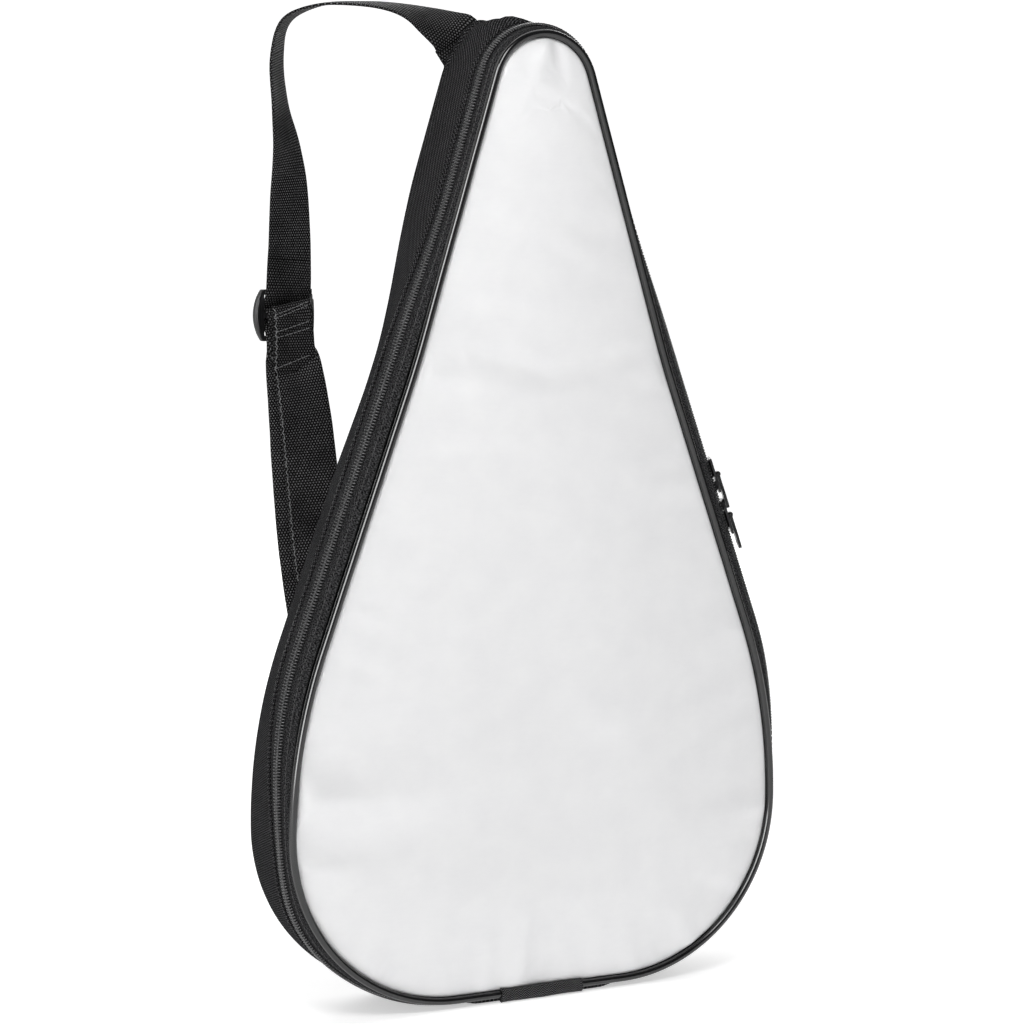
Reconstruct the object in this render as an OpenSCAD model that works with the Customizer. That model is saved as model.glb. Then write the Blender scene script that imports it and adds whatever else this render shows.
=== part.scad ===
// Teardrop paddle case: a padded zip-round cover that opens on a fabric hinge at its flat bottom,
// with a webbing shoulder strap, a strap slider and a ring at the back.
// +Z is up, the front faces -Y, and the origin is under the middle of the flat bottom.

/* [Case] */
// Width over the side seams
case_w = 290; // [270:1:310]
// Height from the bottom seam to the top seam
case_h = 508; // [490:1:530]
// Depth from front seam to back seam, over the paddle's head
case_d = 50; // [46:1:54]
// Depth from front seam to back seam, over the paddle's grip
grip_d = 61; // [56:1:65]
// How far the sides bulge past the seams beside the head
side_bulge = 9.5; // [6:0.5:11]
// How far the sides bulge past the seams beside the grip
grip_bulge = 2.5; // [2:0.5:5]
// How far the bottom corners bulge past the seams
corner_bulge = 3; // [0:0.5:4]
// How far the back dips in at the knee between head and grip
knee_dip = 4; // [0:0.5:5]

/* [Outline] */
// Radius of the two bottom corners
corner_r = 95; // [90:1:100]
// Radius of the side between a corner and the straight flank
side_r = 284; // [270:1:300]
// Lean of the straight flank from upright, in degrees
flank_a = 20; // [19.5:0.1:20.5]
// Lean of the neck beside the grip from upright, in degrees
neck_a = 17; // [16.5:0.1:17.5]
// Radius of the hollow between flank and neck
dip_r = 500; // [400:10:600]
// Radius of the rounded top
top_r = 31; // [29:0.5:33]

/* [Fabric] */
// Thickness of the outer cloth
cloth_t = 1.2; // [1:0.1:1.4]
// Thickness of the foam
foam_t = 3; // [2:0.5:4]
// Thickness of the lining
lining_t = 0.5; // [0.3:0.1:0.6]
// Radius of the piping cord
piping_r = 2.3; // [2:0.1:2.4]
// Half the length of the woven sleeve over the piping's ends
sleeve_half = 24; // [20:1:28]

/* [Zip] */
// Depth of the line between the two coils, from the front seam
zip_d = 8; // [7.8:0.1:8.2]
// Thickness of the zip tape
tape_t = 0.8; // [0.6:0.1:0.9]
// Width of one coil
coil_w = 3; // [2.8:0.1:3.1]
// Height of a coil above its tape
coil_h = 2; // [1.8:0.1:2.1]
// Gap between the two coils
coil_gap = 0.9; // [0.8:0.1:1]
// Depth of the seam between the rear tape and the gusset
rear_tape_d = 16.5; // [15.5:0.5:17.5]

/* [Strap] */
// Width of the webbing
strap_w = 30; // [28:1:32]
// Thickness of the webbing
strap_t = 1.5; // [1.3:0.1:1.6]
// Lean of the lower tab from upright, in degrees
tab_a = 40; // [38:1:42]
// Radius of the bars of the ring
ring_bar_r = 1.7; // [1.5:0.1:1.8]

/* [Hidden] */
$fn = 48;

front_y = -case_d / 2;             // front seam plane
back_y = case_d / 2;               // back panel's outer face over the head
base_z = 2.2;                      // bottom seam line, above the face of the hinge panel
flat_half = case_w / 2 - corner_r; // half the length of the flat bottom
zip_end_x = flat_half + 2;         // where the zip starts, either side of the hinge
dip_z0 = 270;                      // the back dips in from here,
dip_z1 = 330;                      // to here,
deepen_z0 = 340;                   // and comes out to the grip's depth from here,
deepen_z1 = 440;                   // to here
bulge_z0 = 72;                     // the sides bulge from here,
bulge_z1 = 187;                    // are full from here,
bulge_z2 = 330;                    // to here,
bulge_z3 = 430;                    // and settle to the grip's bulge here
bulge_skew = 0.6;                  // below 1 the bulge is fullest nearer the front
flat_d0 = zip_d - 4.5;             // the zip's tapes lie flat from this depth
flat_d1 = zip_d + 4.5;             // to this depth

// ---- the outline: stations [centre x, centre z, radius, normal angle] round the seam line ----

function unit(a) = [cos(a), sin(a)];
function step01(t) = let (u = min(max(t, 0), 1)) u * u * (3 - 2 * u);

corner_c = [flat_half, base_z + corner_r];
side_c = [case_w / 2 - side_r, base_z + corner_r];
top_c = [0, base_z + case_h - top_r];
flank_low = side_c + side_r * unit(flank_a);
neck_top = top_c + top_r * unit(neck_a);
flank_dir = [-sin(flank_a), cos(flank_a)];
neck_dir = [-sin(neck_a), cos(neck_a)];
// the flank and neck lines cross at the knee
knee_s = cross(neck_top - flank_low, neck_dir) / cross(flank_dir, neck_dir);
knee = flank_low + knee_s * flank_dir;
dip_len = dip_r * tan((flank_a - neck_a) / 2);
dip_c = knee - dip_len * flank_dir + dip_r * unit(flank_a);
neck_low = knee + dip_len * neck_dir;
flank_top = knee - dip_len * flank_dir;

function arc(c, r, a0, a1, n, side = 1) =
    [for (i = [0:n]) let (a = a0 + (a1 - a0) * i / n) [c[0], c[1], side * r, a]];
function line(p, q, a, n) =
    [for (i = [1:n - 1]) let (t = i / n) [p[0] + (q[0] - p[0]) * t, p[1] + (q[1] - p[1]) * t, 0, a]];
function mirrored(list) =
    [for (i = [len(list) - 1:-1:0]) let (s = list[i]) [-s[0], s[1], s[2], 180 - s[3]]];

corner_arc = arc(corner_c, corner_r, -90, 0, 18);
side_rise = concat(
    arc(side_c, side_r, 2, flank_a, 6),
    line(flank_low, flank_top, flank_a, 8),
    arc(dip_c, dip_r, flank_a, neck_a, 2, -1),
    line(neck_low, neck_top, neck_a, 9),
    arc(top_c, top_r, neck_a, 84, 9)
);
top_station = [[top_c[0], top_c[1], top_r, 90]];
right_side = concat(corner_arc, side_rise);
ring_stations = concat(right_side, top_station, mirrored(right_side));
// the zip runs from beside the hinge, up over the top and down to the hinge's other side
zip_side = concat(
    [for (s = corner_arc) if (s[0] + s[2] * cos(s[3]) > zip_end_x) s],
    side_rise
);
zip_stations = concat(zip_side, top_station, mirrored(zip_side));
piping_stations = concat(
    [[sleeve_half, base_z, 0, -90]], right_side, top_station, mirrored(right_side),
    [[-sleeve_half, base_z, 0, 270]]
);

function at(s, off) = [s[0], s[1]] + (s[2] + off) * unit(s[3]);
function outline(off) = [for (s = ring_stations) at(s, off)];

// ---- the side's shape across its depth ----

function depth(z) =
    case_d - knee_dip * step01((z - dip_z0) / (dip_z1 - dip_z0))
    + (grip_d - case_d + knee_dip) * step01((z - deepen_z0) / (deepen_z1 - deepen_z0));
function bulge(z) =
    side_bulge * step01((z - bulge_z0) / (bulge_z1 - bulge_z0))
    - (side_bulge - grip_bulge) * step01((z - bulge_z2) / (bulge_z3 - bulge_z2))
    + corner_bulge * pow(sin(180 * min(max((z - base_z) / corner_r, 0), 1)), 2);
function crown(d) = sin(180 * pow(min(max(d / case_d, 0), 1), bulge_skew));
function zip_slope(z) = atan2(bulge(z) * (crown(flat_d1) - crown(flat_d0)), flat_d1 - flat_d0);
// how far the outer face stands past the seam line, at depth d, with the zip's part flat
function face(z, d) = bulge(z) * (
    d > flat_d0 && d < flat_d1
        ? crown(flat_d0) + (crown(flat_d1) - crown(flat_d0)) * (d - flat_d0) / (flat_d1 - flat_d0)
        : crown(d)
);
// [depth, offset] of a point u across and h above the face of the zip's tapes
function on_zip(z, u, h) = let (a = zip_slope(z))
    [zip_d + u * cos(a) - h * sin(a), face(z, zip_d) + u * sin(a) + h * cos(a)];

// ---- solids from stations ----

function station_z(s) = at(s, 0)[1];
function ring_points(stations, profiles) = [
    for (i = [0:len(stations) - 1]) for (p = profiles[i])
        let (q = at(stations[i], p[1])) [q[0], front_y + p[0], q[1]]
];
// an end's faces, each between one pair of points and the pair beside it
function cap_faces(m, first, ahead) = [
    for (j = [0:ceil(m / 2) - 2]) let (
        f = j + 1 == m - 2 - j ? [j, j + 1, m - 1 - j] : [j, j + 1, m - 2 - j, m - 1 - j],
        c = len(f)
    ) [for (k = [0:c - 1]) first + f[ahead ? k : c - 1 - k]]
];
// m points a station; a closed run joins its last station to its first, an open one gets end caps
function skin_faces(n, m, closed) = concat(
    [for (i = [0:(closed ? n - 1 : n - 2)]) for (j = [0:m - 1])
        let (a = i * m + j, b = i * m + (j + 1) % m, k = (i + 1) % n * m)
        each [[a, b, k + j], [b, k + (j + 1) % m, k + j]]],
    closed ? [] : concat(cap_faces(m, 0, false), cap_faces(m, (n - 1) * m, true))
);
// profiles are [depth, offset] loops, clockwise when seen along the run
module sweep(stations, profiles, closed = false) {
    polyhedron(
        points = ring_points(stations, profiles),
        faces = skin_faces(len(stations), len(profiles[0]), closed),
        convexity = 10
    );
}
// a flat sheet from depth y0 to depth y1, inset from the seam line
module sheet(off, y0, y1) {
    translate([0, y1, 0]) rotate([90, 0, 0]) linear_extrude(y1 - y0) polygon(outline(-off));
}
// a sheet that follows the back as the case deepens, from inset d0 to d1 inside the back's face
module back_sheet(off, d0, d1) {
    bends = [
        for (s = side_rise)
            if (station_z(s) > dip_z0 - 40 && station_z(s) < deepen_z1 + 30) station_z(s)
    ];
    heights = concat([-1], bends, [base_z + case_h + 1]);
    intersection() {
        translate([0, back_y + 20, 0]) rotate([90, 0, 0]) linear_extrude(60) polygon(outline(-off));
        rotate([90, 0, 90]) translate([0, 0, -case_w]) linear_extrude(2 * case_w) polygon(concat(
            [for (z = heights) [front_y + depth(z) - d0, z]],
            [for (i = [len(heights) - 1:-1:0]) [front_y + depth(heights[i]) - d1, heights[i]]]
        ));
    }
}

// ---- front cover ----

panel_inset = piping_r * 2 + 0.1;
lining_inset = 6;

module front_panel() {
    color("white") sheet(panel_inset, front_y - 0.4, front_y - 0.4 + cloth_t);
}
module front_padding() {
    color("gainsboro") sheet(lining_inset, front_y + 0.8, front_y + 0.8 + foam_t);
}
module front_lining() {
    color("dimgray") sheet(lining_inset, front_y + 0.8 + foam_t, front_y + 0.8 + foam_t + lining_t);
}
function cord(r, d, off, n = 8) = [
    for (j = [n - 1:-1:0]) [d + r * cos(360 * j / n), off + r * sin(360 * j / n)]
];
module front_piping() {
    color("black") sweep(piping_stations, [for (s = piping_stations) cord(piping_r, -1, -piping_r - 0.1)]);
}
module piping_sleeve() {
    color("black") translate([-sleeve_half + 0.1, front_y - 1.6, base_z + piping_r + 0.05])
        rotate([0, 90, 0]) cylinder(r = piping_r + 0.3, h = 2 * sleeve_half - 0.2);
}
module front_seam_binding() {
    color("black") sweep(ring_stations, [for (s = ring_stations)
        [[1.4, -1.4], [4.4, -1.4], [4.4, -4.4], [1.4, -4.4]]], closed = true);
}

// ---- zip ----

tape_flat = 4.7;                   // a tape lies flat this far from the zip's middle
coil_lift = 0.14;                  // a coil's base stands this far off its tape
// a tape's section from the coils' gap out to its seam; side is -1 for the front, 1 for the rear
function tape_section(z, side) = let (
    far = side < 0 ? 1.5 : rear_tape_d,
    near = side * coil_gap / 2,
    turn = side * tape_flat,
    top = [on_zip(z, near, 0), on_zip(z, turn, 0), [far, face(z, far)]],
    under = [[far, face(z, far) - tape_t], on_zip(z, turn, -tape_t), on_zip(z, near, -tape_t)],
    loop = concat(top, under)
) side > 0 ? loop : [for (j = [5:-1:0]) loop[j]];
function coil_section(z, side) = let (
    u0 = side * coil_gap / 2,
    u1 = side * (coil_gap / 2 + coil_w),
    um = side * (coil_gap / 2 + coil_w / 2),
    loop = [
        on_zip(z, u0, coil_lift), on_zip(z, u0, coil_h * 0.6), on_zip(z, um, coil_h),
        on_zip(z, u1, coil_h * 0.6), on_zip(z, u1, coil_lift)
    ]
) side > 0 ? loop : [for (j = [4:-1:0]) loop[j]];

module front_zip_tape() {
    color("black") sweep(zip_stations, [for (s = zip_stations) tape_section(station_z(s), -1)]);
}
module rear_zip_tape() {
    color("black") sweep(zip_stations, [for (s = zip_stations) tape_section(station_z(s), 1)]);
}
module front_zip_coil() {
    color("dimgray") sweep(zip_stations, [for (s = zip_stations) coil_section(station_z(s), -1)]);
}
module rear_zip_coil() {
    color("dimgray") sweep(zip_stations, [for (s = zip_stations) coil_section(station_z(s), 1)]);
}

// sliders, in a frame with x down the zip, y towards the back and z out of the tapes' face
slider_len = 20;
slider_w = 9.4;
plate_t = 1.2;
plate_z = coil_h + 0.3;
pull_len = 20;
pull_pin_r = 0.8;
pull_pin_z = plate_z + plate_t + 1.2;
lug_top_r = 1.6;
slider_mid = flank_low + 0.5 * (flank_top - flank_low);
slider_spacing = 24;

// puts the slider frame on the right flank, along metres past its middle
module on_flank(along) {
    off = on_zip(slider_mid[1], 0, 0);
    p = slider_mid + along * flank_dir + off[1] * unit(flank_a);
    translate([p[0], front_y + off[0], p[1]])
        rotate([0, 90 - flank_a, 0]) rotate([zip_slope(slider_mid[1]), 0, 0]) children();
}
// nose is the end where the two chains meet the post: -1 for the lower slider, 1 for the upper
module slider_plate(nose) {
    half = slider_len / 2;
    linear_extrude(plate_t) polygon([
        [nose * -half, -slider_w * 0.36], [nose * -half * 0.8, -slider_w * 0.44],
        [nose * half * 0.2, -slider_w * 0.44], [nose * half * 0.6, -slider_w / 2],
        [nose * half * 0.9, -slider_w * 0.42], [nose * half, -slider_w * 0.2],
        [nose * half, slider_w * 0.2], [nose * half * 0.9, slider_w * 0.42],
        [nose * half * 0.6, slider_w / 2], [nose * half * 0.2, slider_w * 0.44],
        [nose * -half * 0.8, slider_w * 0.44], [nose * -half, slider_w * 0.36]
    ]);
}
module slider_body(nose) {
    lip_y = coil_gap / 2 + coil_w + 0.25;
    difference() {
        union() {
            translate([0, 0, plate_z]) slider_plate(nose);
            translate([0, 0, -tape_t - 0.3 - plate_t]) slider_plate(nose);
            translate([nose * 6 - 2.5, -0.3, -tape_t - 0.4]) cube([5, 0.6, plate_z + tape_t + 0.5]);
            translate([nose * -3 - 5, lip_y, 0.3]) cube([10, 0.5, plate_z]);
            translate([-lug_top_r, -0.9, plate_z + plate_t - 0.1]) cube([2 * lug_top_r, 1.8, 1.3]);
            translate([0, 0.9, pull_pin_z]) rotate([90, 0, 0]) cylinder(r = lug_top_r, h = 1.8);
        }
        translate([0, 2, pull_pin_z]) rotate([90, 0, 0]) cylinder(r = pull_pin_r + 0.06, h = 4);
    }
}
module pull_tab() {
    arm_y = 1.1;
    arm_w = 1.5;
    translate([0, arm_y + arm_w, pull_pin_z]) rotate([90, 0, 0])
        cylinder(r = pull_pin_r, h = 2 * (arm_y + arm_w));
    for (side = [-1, 1])
        translate([-0.8, side * (arm_y + arm_w / 2) - arm_w / 2, pull_pin_z - 0.8]) cube([7.8, arm_w, 1.6]);
    translate([0, 0, pull_pin_z - 0.8]) difference() {
        linear_extrude(1.6) difference() {
            union() {
                polygon([
                    [5, -2.6], [11, -3.6], [pull_len - 3.6, -3.6], [pull_len - 3.6, 3.6], [11, 3.6], [5, 2.6]
                ]);
                translate([pull_len - 3.6, 0]) circle(r = 3.6);
            }
            translate([pull_len - 4.2, 0]) circle(r = 1.6);
        }
    }
}
module upper_slider_body() {
    color("black") on_flank(slider_spacing / 2) slider_body(1);
}
module lower_slider_body() {
    color("black") on_flank(-slider_spacing / 2) slider_body(-1);
}
module upper_pull_tab() {
    color("black") on_flank(slider_spacing / 2) pull_tab();
}
module lower_pull_tab() {
    color("black") on_flank(-slider_spacing / 2) pull_tab();
}

// ---- back shell ----

module back_panel() {
    color("black") back_sheet(1.5, 0, cloth_t);
}
module back_padding() {
    color("gainsboro") back_sheet(lining_inset, cloth_t, cloth_t + foam_t);
}
module back_lining() {
    color("dimgray") back_sheet(lining_inset, cloth_t + foam_t, cloth_t + foam_t + lining_t);
}
module back_seam_binding() {
    color("black") sweep(ring_stations, [for (s = ring_stations) let (d = depth(station_z(s)))
        [[d - 4.6, -1.6], [d - 1.6, -1.6], [d - 1.6, -4.4], [d - 4.6, -4.4]]], closed = true);
}
// the gusset's section, from the rear tape's seam to the back seam
function gusset_section(z) = let (
    d = depth(z),
    steps = 6,
    depths = [for (j = [0:steps]) rear_tape_d + (d - rear_tape_d) * j / steps],
    // the crown runs over the case's own depth, so that it ends on the back seam
    lift = [for (x = depths) let (t = (x - rear_tape_d) / (d - rear_tape_d))
        face(z, rear_tape_d + (case_d - rear_tape_d) * t)]
) concat(
    [for (j = [0:steps]) [depths[j], lift[j]]],
    [for (j = [steps:-1:0]) [depths[j], lift[j] - cloth_t]]
);
module gusset_band() {
    sections = [for (s = ring_stations) gusset_section(station_z(s))];
    color("black") sweep(ring_stations, sections, closed = true);
}
module hinge_panel() {
    // the fabric hinge between the zip's ends, and the base panel it runs into under the gusset
    color("black") translate([-flat_half, front_y + 1.5, 0]) union() {
        cube([2 * flat_half, rear_tape_d - 1.5, base_z + cloth_t]);
        cube([2 * flat_half, case_d - 1.5, base_z]);
    }
}

// ---- strap ----

root_a = 126;                              // where on the top's arc the strap is sewn in
root_off = 2.5;                            // its sewn end shows this far outside the seam
root_gap = 0.3;
root_dir = [cos(root_a), 0, sin(root_a)];
root_w_dir = [sin(root_a), 0, -cos(root_a)];
root_y = front_y + grip_d - 1.5;
root_p = [top_c[0], root_y, top_c[1]];
root_start = root_p + (top_r + root_off + root_gap) * root_dir;
slider_at = [-91, 101.5, 360];             // middle of the strap slider
slider_turn = 14;                          // its turn about the upright, in degrees
slider_w_dir = [cos(slider_turn), sin(slider_turn), 0];
slider_n_dir = [sin(slider_turn), -cos(slider_turn), 0];
slider_h = 28;
slider_r = 22;                             // radius of its bowed sides
slot_w = strap_w + 1.2;
bar_h = 3;
bar_t = 2.4;

tab_dir = [-sin(tab_a), 0, cos(tab_a)];
tab_w_dir = [cos(tab_a), 0, sin(tab_a)];
tab_root = [0, back_y, 30];
tab_len = 24;
ring_lean = 35;
ring_pitch = 17;
lug_gap = 0.08;
ring_low = tab_root + tab_len * tab_dir + [0, ring_bar_r + lug_gap + strap_t, 0];
ring_dir = cos(ring_lean) * tab_dir + sin(ring_lean) * [0, 1, 0];
ring_n_dir = cross(ring_dir, tab_w_dir);
ring_high = ring_low + ring_pitch * ring_dir;
fold_r = 6.2;                                     // webbing's middle round the ring, with room to swing

// a strap frame is [point, width direction]
function normed(v) = v / norm(v);
function spline(k, i, t) = let (
    n = len(k) - 1,
    a = k[max(i - 1, 0)], b = k[i], c = k[i + 1], d = k[min(i + 2, n)]
) b + 0.5 * t * ((c - a) + t * ((2 * a - 5 * b + 4 * c - d) + t * (3 * b - a - 3 * c + d)));
function smooth(points, widths, n) = [
    for (i = [0:len(points) - 2]) for (j = [0:n - 1])
        [spline(points, i, j / n), normed(spline(widths, i, j / n))]
];

function turned(a, lean) = [cos(a) * cos(lean), sin(a) * cos(lean), sin(lean)];

up_run = [
    root_start + 1.6 * root_dir, root_p + (top_r + 8) * root_dir + [-1, 2, 0],
    [-34, 47, 519], [-46, 56, 524], [-62, 66, 526], [-83, 75, 525], [-97, 86, 517], [-100, 92, 498],
    [-97, 95, 472], [-92, 98, 449], [-90, 99, 425], [-89.5, 100.5, 388]
];
up_widths = [
    root_w_dir, turned(18, 33), turned(48, 22), turned(60, 12), turned(62, 7), turned(61, 4),
    turned(60, 0), turned(55, 0), turned(51, 0), turned(38, 0), turned(25, 0), turned(16, 0)
];
// the strap's two lower layers part from the strap slider down to the ring
low_run = [
    [-89, 101.5, 332], [-86, 101.5, 300], [-85, 99, 270], [-83, 93, 225], [-78, 84, 180], [-64, 67, 130]
];
low_parting = [7, 10, 12, 12.4, 12.4, 12.4];
low_widths = [
    turned(6, 0), turned(-3, 3), turned(-8, 6), turned(-10, 14), turned(-8, 24), turned(-4, 34)
];

// points round the strap slider: [height, how far in front of its plane]
function at_slider(h, n) = [slider_at + [0, 0, h] + n * slider_n_dir, slider_w_dir];
bar_reach = norm([bar_h, bar_t]) / 2;  // a bar's corner, from its middle
wrap_r = bar_reach + 0.15 + strap_t / 2;
front_n = bar_t / 2 + strap_t / 2 + 0.3;
behind_n = -(wrap_r + strap_t + 0.3);
weave = [
    [20, front_n], [14, front_n], [9, front_n - 0.5], [6, -1.6], [3, behind_n], [-3, behind_n],
    [-6, -1.6], [-9, front_n - 0.5], [-14, front_n], [-19, front_n]
];
// the strap's end, folded round the middle bar
end_wrap = concat(
    [[-20, front_n + strap_t + 1.6], [-14, front_n + strap_t + 1.2], [-9, front_n + strap_t + 0.7],
     [-4, wrap_r + 0.9]],
    [for (a = [0:30:180]) [wrap_r * sin(a), wrap_r * cos(a)]],
    [[-2.6, -2]]
);

// both layers leave the ring's bar on either side of the fold
function fold_frame(a) = [ring_high + fold_r * (cos(a) * ring_n_dir + sin(a) * ring_dir), tab_w_dir];
front_low = [for (i = [0:len(low_run) - 1]) low_run[i] + low_parting[i] * slider_n_dir];
back_run = concat([at_slider(-19, front_n)[0]], low_run, [fold_frame(-180)[0]]);
front_run = concat([at_slider(-20, front_n + strap_t + 1.6)[0]], front_low, [fold_frame(0)[0]]);
low_turns = concat([slider_w_dir], low_widths, [tab_w_dir]);
low_steps = 4;
low_count = low_steps * (len(back_run) - 1);

strap_frames = concat(
    [[root_start, root_w_dir]],
    smooth(up_run, up_widths, 5),
    [for (w = weave) at_slider(w[0], w[1])],
    [for (i = [1:low_count - 1]) smooth(back_run, low_turns, low_steps)[i]],
    [for (a = [-180:-30:-360]) fold_frame(a)],
    [for (i = [low_count - 1:-1:1]) smooth(front_run, low_turns, low_steps)[i]],
    [for (w = end_wrap) at_slider(w[0], w[1])]
);

// a strip of webbing through a list of frames
module ribbon(frames, w, t) {
    n = len(frames);
    points = [for (i = [0:n - 1]) let (
        ahead = frames[min(i + 1, n - 1)][0] - frames[max(i - 1, 0)][0],
        across = frames[i][1],
        side = normed(across - (across * normed(ahead)) * normed(ahead)),
        out = cross(side, normed(ahead)),
        p = frames[i][0]
    ) each [
        p - w / 2 * side - t / 2 * out, p - w / 2 * side + t / 2 * out,
        p + w / 2 * side + t / 2 * out, p + w / 2 * side - t / 2 * out
    ]];
    polyhedron(points = points, faces = skin_faces(n, 4, false), convexity = 10);
}

// lays children out in a frame given by its axes
module framed(origin, x, y, z) {
    multmatrix([
        [x[0], y[0], z[0], origin[0]],
        [x[1], y[1], z[1], origin[1]],
        [x[2], y[2], z[2], origin[2]]
    ]) children();
}
module strap_root() {
    // the strap's sewn end, from the back seam out to where the strap begins to bend
    color("black") framed(root_p - [0, strap_t / 2, 0], -root_w_dir, root_dir, [0, 1, 0])
        linear_extrude(strap_t) difference() {
            translate([-strap_w / 2, top_r * 0.7]) square([strap_w, top_r * 0.3 + root_off]);
            circle(r = top_r + 0.4);
        }
}
module shoulder_strap() {
    color("black") ribbon(strap_frames, strap_w, strap_t);
}
module strap_slider() {
    slot_h = (slider_h - 3 * bar_h) / 2;
    color("black") framed(slider_at - bar_t / 2 * slider_n_dir, slider_w_dir, [0, 0, 1], slider_n_dir)
        linear_extrude(bar_t) difference() {
            intersection() {
                square([2 * slider_r + 2, slider_h], center = true);
                circle(r = slider_r);
            }
            for (side = [-1, 1]) translate([0, side * (bar_h + slot_h) / 2])
                square([slot_w, slot_h], center = true);
        }
}
module lower_tab() {
    lug_r = ring_bar_r + lug_gap;
    color("black") framed(tab_root, -tab_w_dir, tab_dir, [0, 1, 0]) difference() {
        union() {
            translate([-strap_w / 2, -16, 0]) cube([strap_w, 16 + tab_len, strap_t]);
            translate([-strap_w / 2, tab_len, lug_r + strap_t]) rotate([0, 90, 0])
                cylinder(r = lug_r + strap_t, h = strap_w);
        }
        translate([-strap_w / 2 - 1, tab_len, lug_r + strap_t]) rotate([0, 90, 0])
            cylinder(r = lug_r, h = strap_w + 2);
    }
}
module strap_ring() {
    half_w = strap_w / 2 + 3;
    color("black") framed(ring_low, tab_w_dir, ring_dir, -ring_n_dir) union() {
        for (k = [0, 1]) translate([-half_w, k * ring_pitch, 0]) rotate([0, 90, 0])
            cylinder(r = ring_bar_r, h = 2 * half_w);
        for (side = [-1, 1]) translate([side * half_w, ring_pitch, 0]) rotate([90, 0, 0])
            cylinder(r = ring_bar_r, h = ring_pitch);
        for (side = [-1, 1]) for (k = [0, 1]) translate([side * half_w, k * ring_pitch, 0])
            sphere(r = ring_bar_r);
    }
}

front_panel();
front_padding();
front_lining();
front_piping();
piping_sleeve();
front_seam_binding();
front_zip_tape();
front_zip_coil();
back_panel();
back_padding();
back_lining();
back_seam_binding();
gusset_band();
rear_zip_tape();
rear_zip_coil();
hinge_panel();
upper_slider_body();
upper_pull_tab();
lower_slider_body();
lower_pull_tab();
strap_root();
shoulder_strap();
strap_slider();
lower_tab();
strap_ring();
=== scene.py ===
"""A teardrop paddle case: the looks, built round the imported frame. Lengths are in metres, +Z is up and the
front faces -Y. Sections of the case are [depth from the front seam, distance outside the seam line]."""

import math

import bmesh
import bpy
import numpy as np
from mathutils import Matrix, Vector, noise


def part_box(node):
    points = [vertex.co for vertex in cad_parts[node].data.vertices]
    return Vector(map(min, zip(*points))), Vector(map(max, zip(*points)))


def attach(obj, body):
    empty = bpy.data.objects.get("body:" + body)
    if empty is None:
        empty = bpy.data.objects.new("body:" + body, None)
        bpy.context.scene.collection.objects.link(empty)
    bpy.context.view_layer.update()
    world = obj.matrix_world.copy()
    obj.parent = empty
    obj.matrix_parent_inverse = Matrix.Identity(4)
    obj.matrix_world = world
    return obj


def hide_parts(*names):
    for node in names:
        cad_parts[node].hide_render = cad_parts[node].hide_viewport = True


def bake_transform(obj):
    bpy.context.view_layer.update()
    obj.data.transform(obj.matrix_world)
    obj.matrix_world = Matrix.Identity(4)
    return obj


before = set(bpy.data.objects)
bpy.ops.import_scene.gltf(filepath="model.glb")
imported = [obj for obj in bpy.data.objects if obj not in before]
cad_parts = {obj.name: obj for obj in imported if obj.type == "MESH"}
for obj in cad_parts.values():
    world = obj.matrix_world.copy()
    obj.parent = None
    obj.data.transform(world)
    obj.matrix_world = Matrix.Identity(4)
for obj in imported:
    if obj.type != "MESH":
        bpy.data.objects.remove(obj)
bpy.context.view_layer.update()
MM = 0.001

# ---------------------------------------------------------------- the case's outline

back_low, back_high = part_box("back_panel")
hinge_low, hinge_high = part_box("hinge_panel")
FRONT_Y = hinge_low.y - 1.5 * MM
CASE_D = hinge_high.y - FRONT_Y
GRIP_D = back_high.y - FRONT_Y
BASE_Z = back_low.z - 1.5 * MM
TOP_Z = back_high.z + 1.5 * MM
CASE_W = back_high.x - back_low.x + 3 * MM
HINGE_X = hinge_high.x
CORNER_R, SIDE_R, DIP_R, TOP_R = 95 * MM, 284 * MM, 500 * MM, 31 * MM
FLANK_A, NECK_A = math.radians(20), math.radians(17)
REAR_TAPE_D = 16.5 * MM
ZIP_D = 8 * MM
FLAT_D = (3.5 * MM, 12.5 * MM)
# where each change in depth or bulge starts and how far it runs, and its size, in millimetres
DIP_Z, DEEPEN_Z, RISE_Z, SETTLE_Z = (270, 60), (340, 100), (72, 115), (330, 100)
KNEE_DIP, SIDE_BULGE, BULGE_LOSS, CORNER_BULGE, BULGE_SKEW = 4, 9.5, 7, 3, 0.6


def unit(a):
    return np.array([math.cos(a), math.sin(a)])


def cross2(a, b):
    return a[0] * b[1] - a[1] * b[0]


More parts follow.
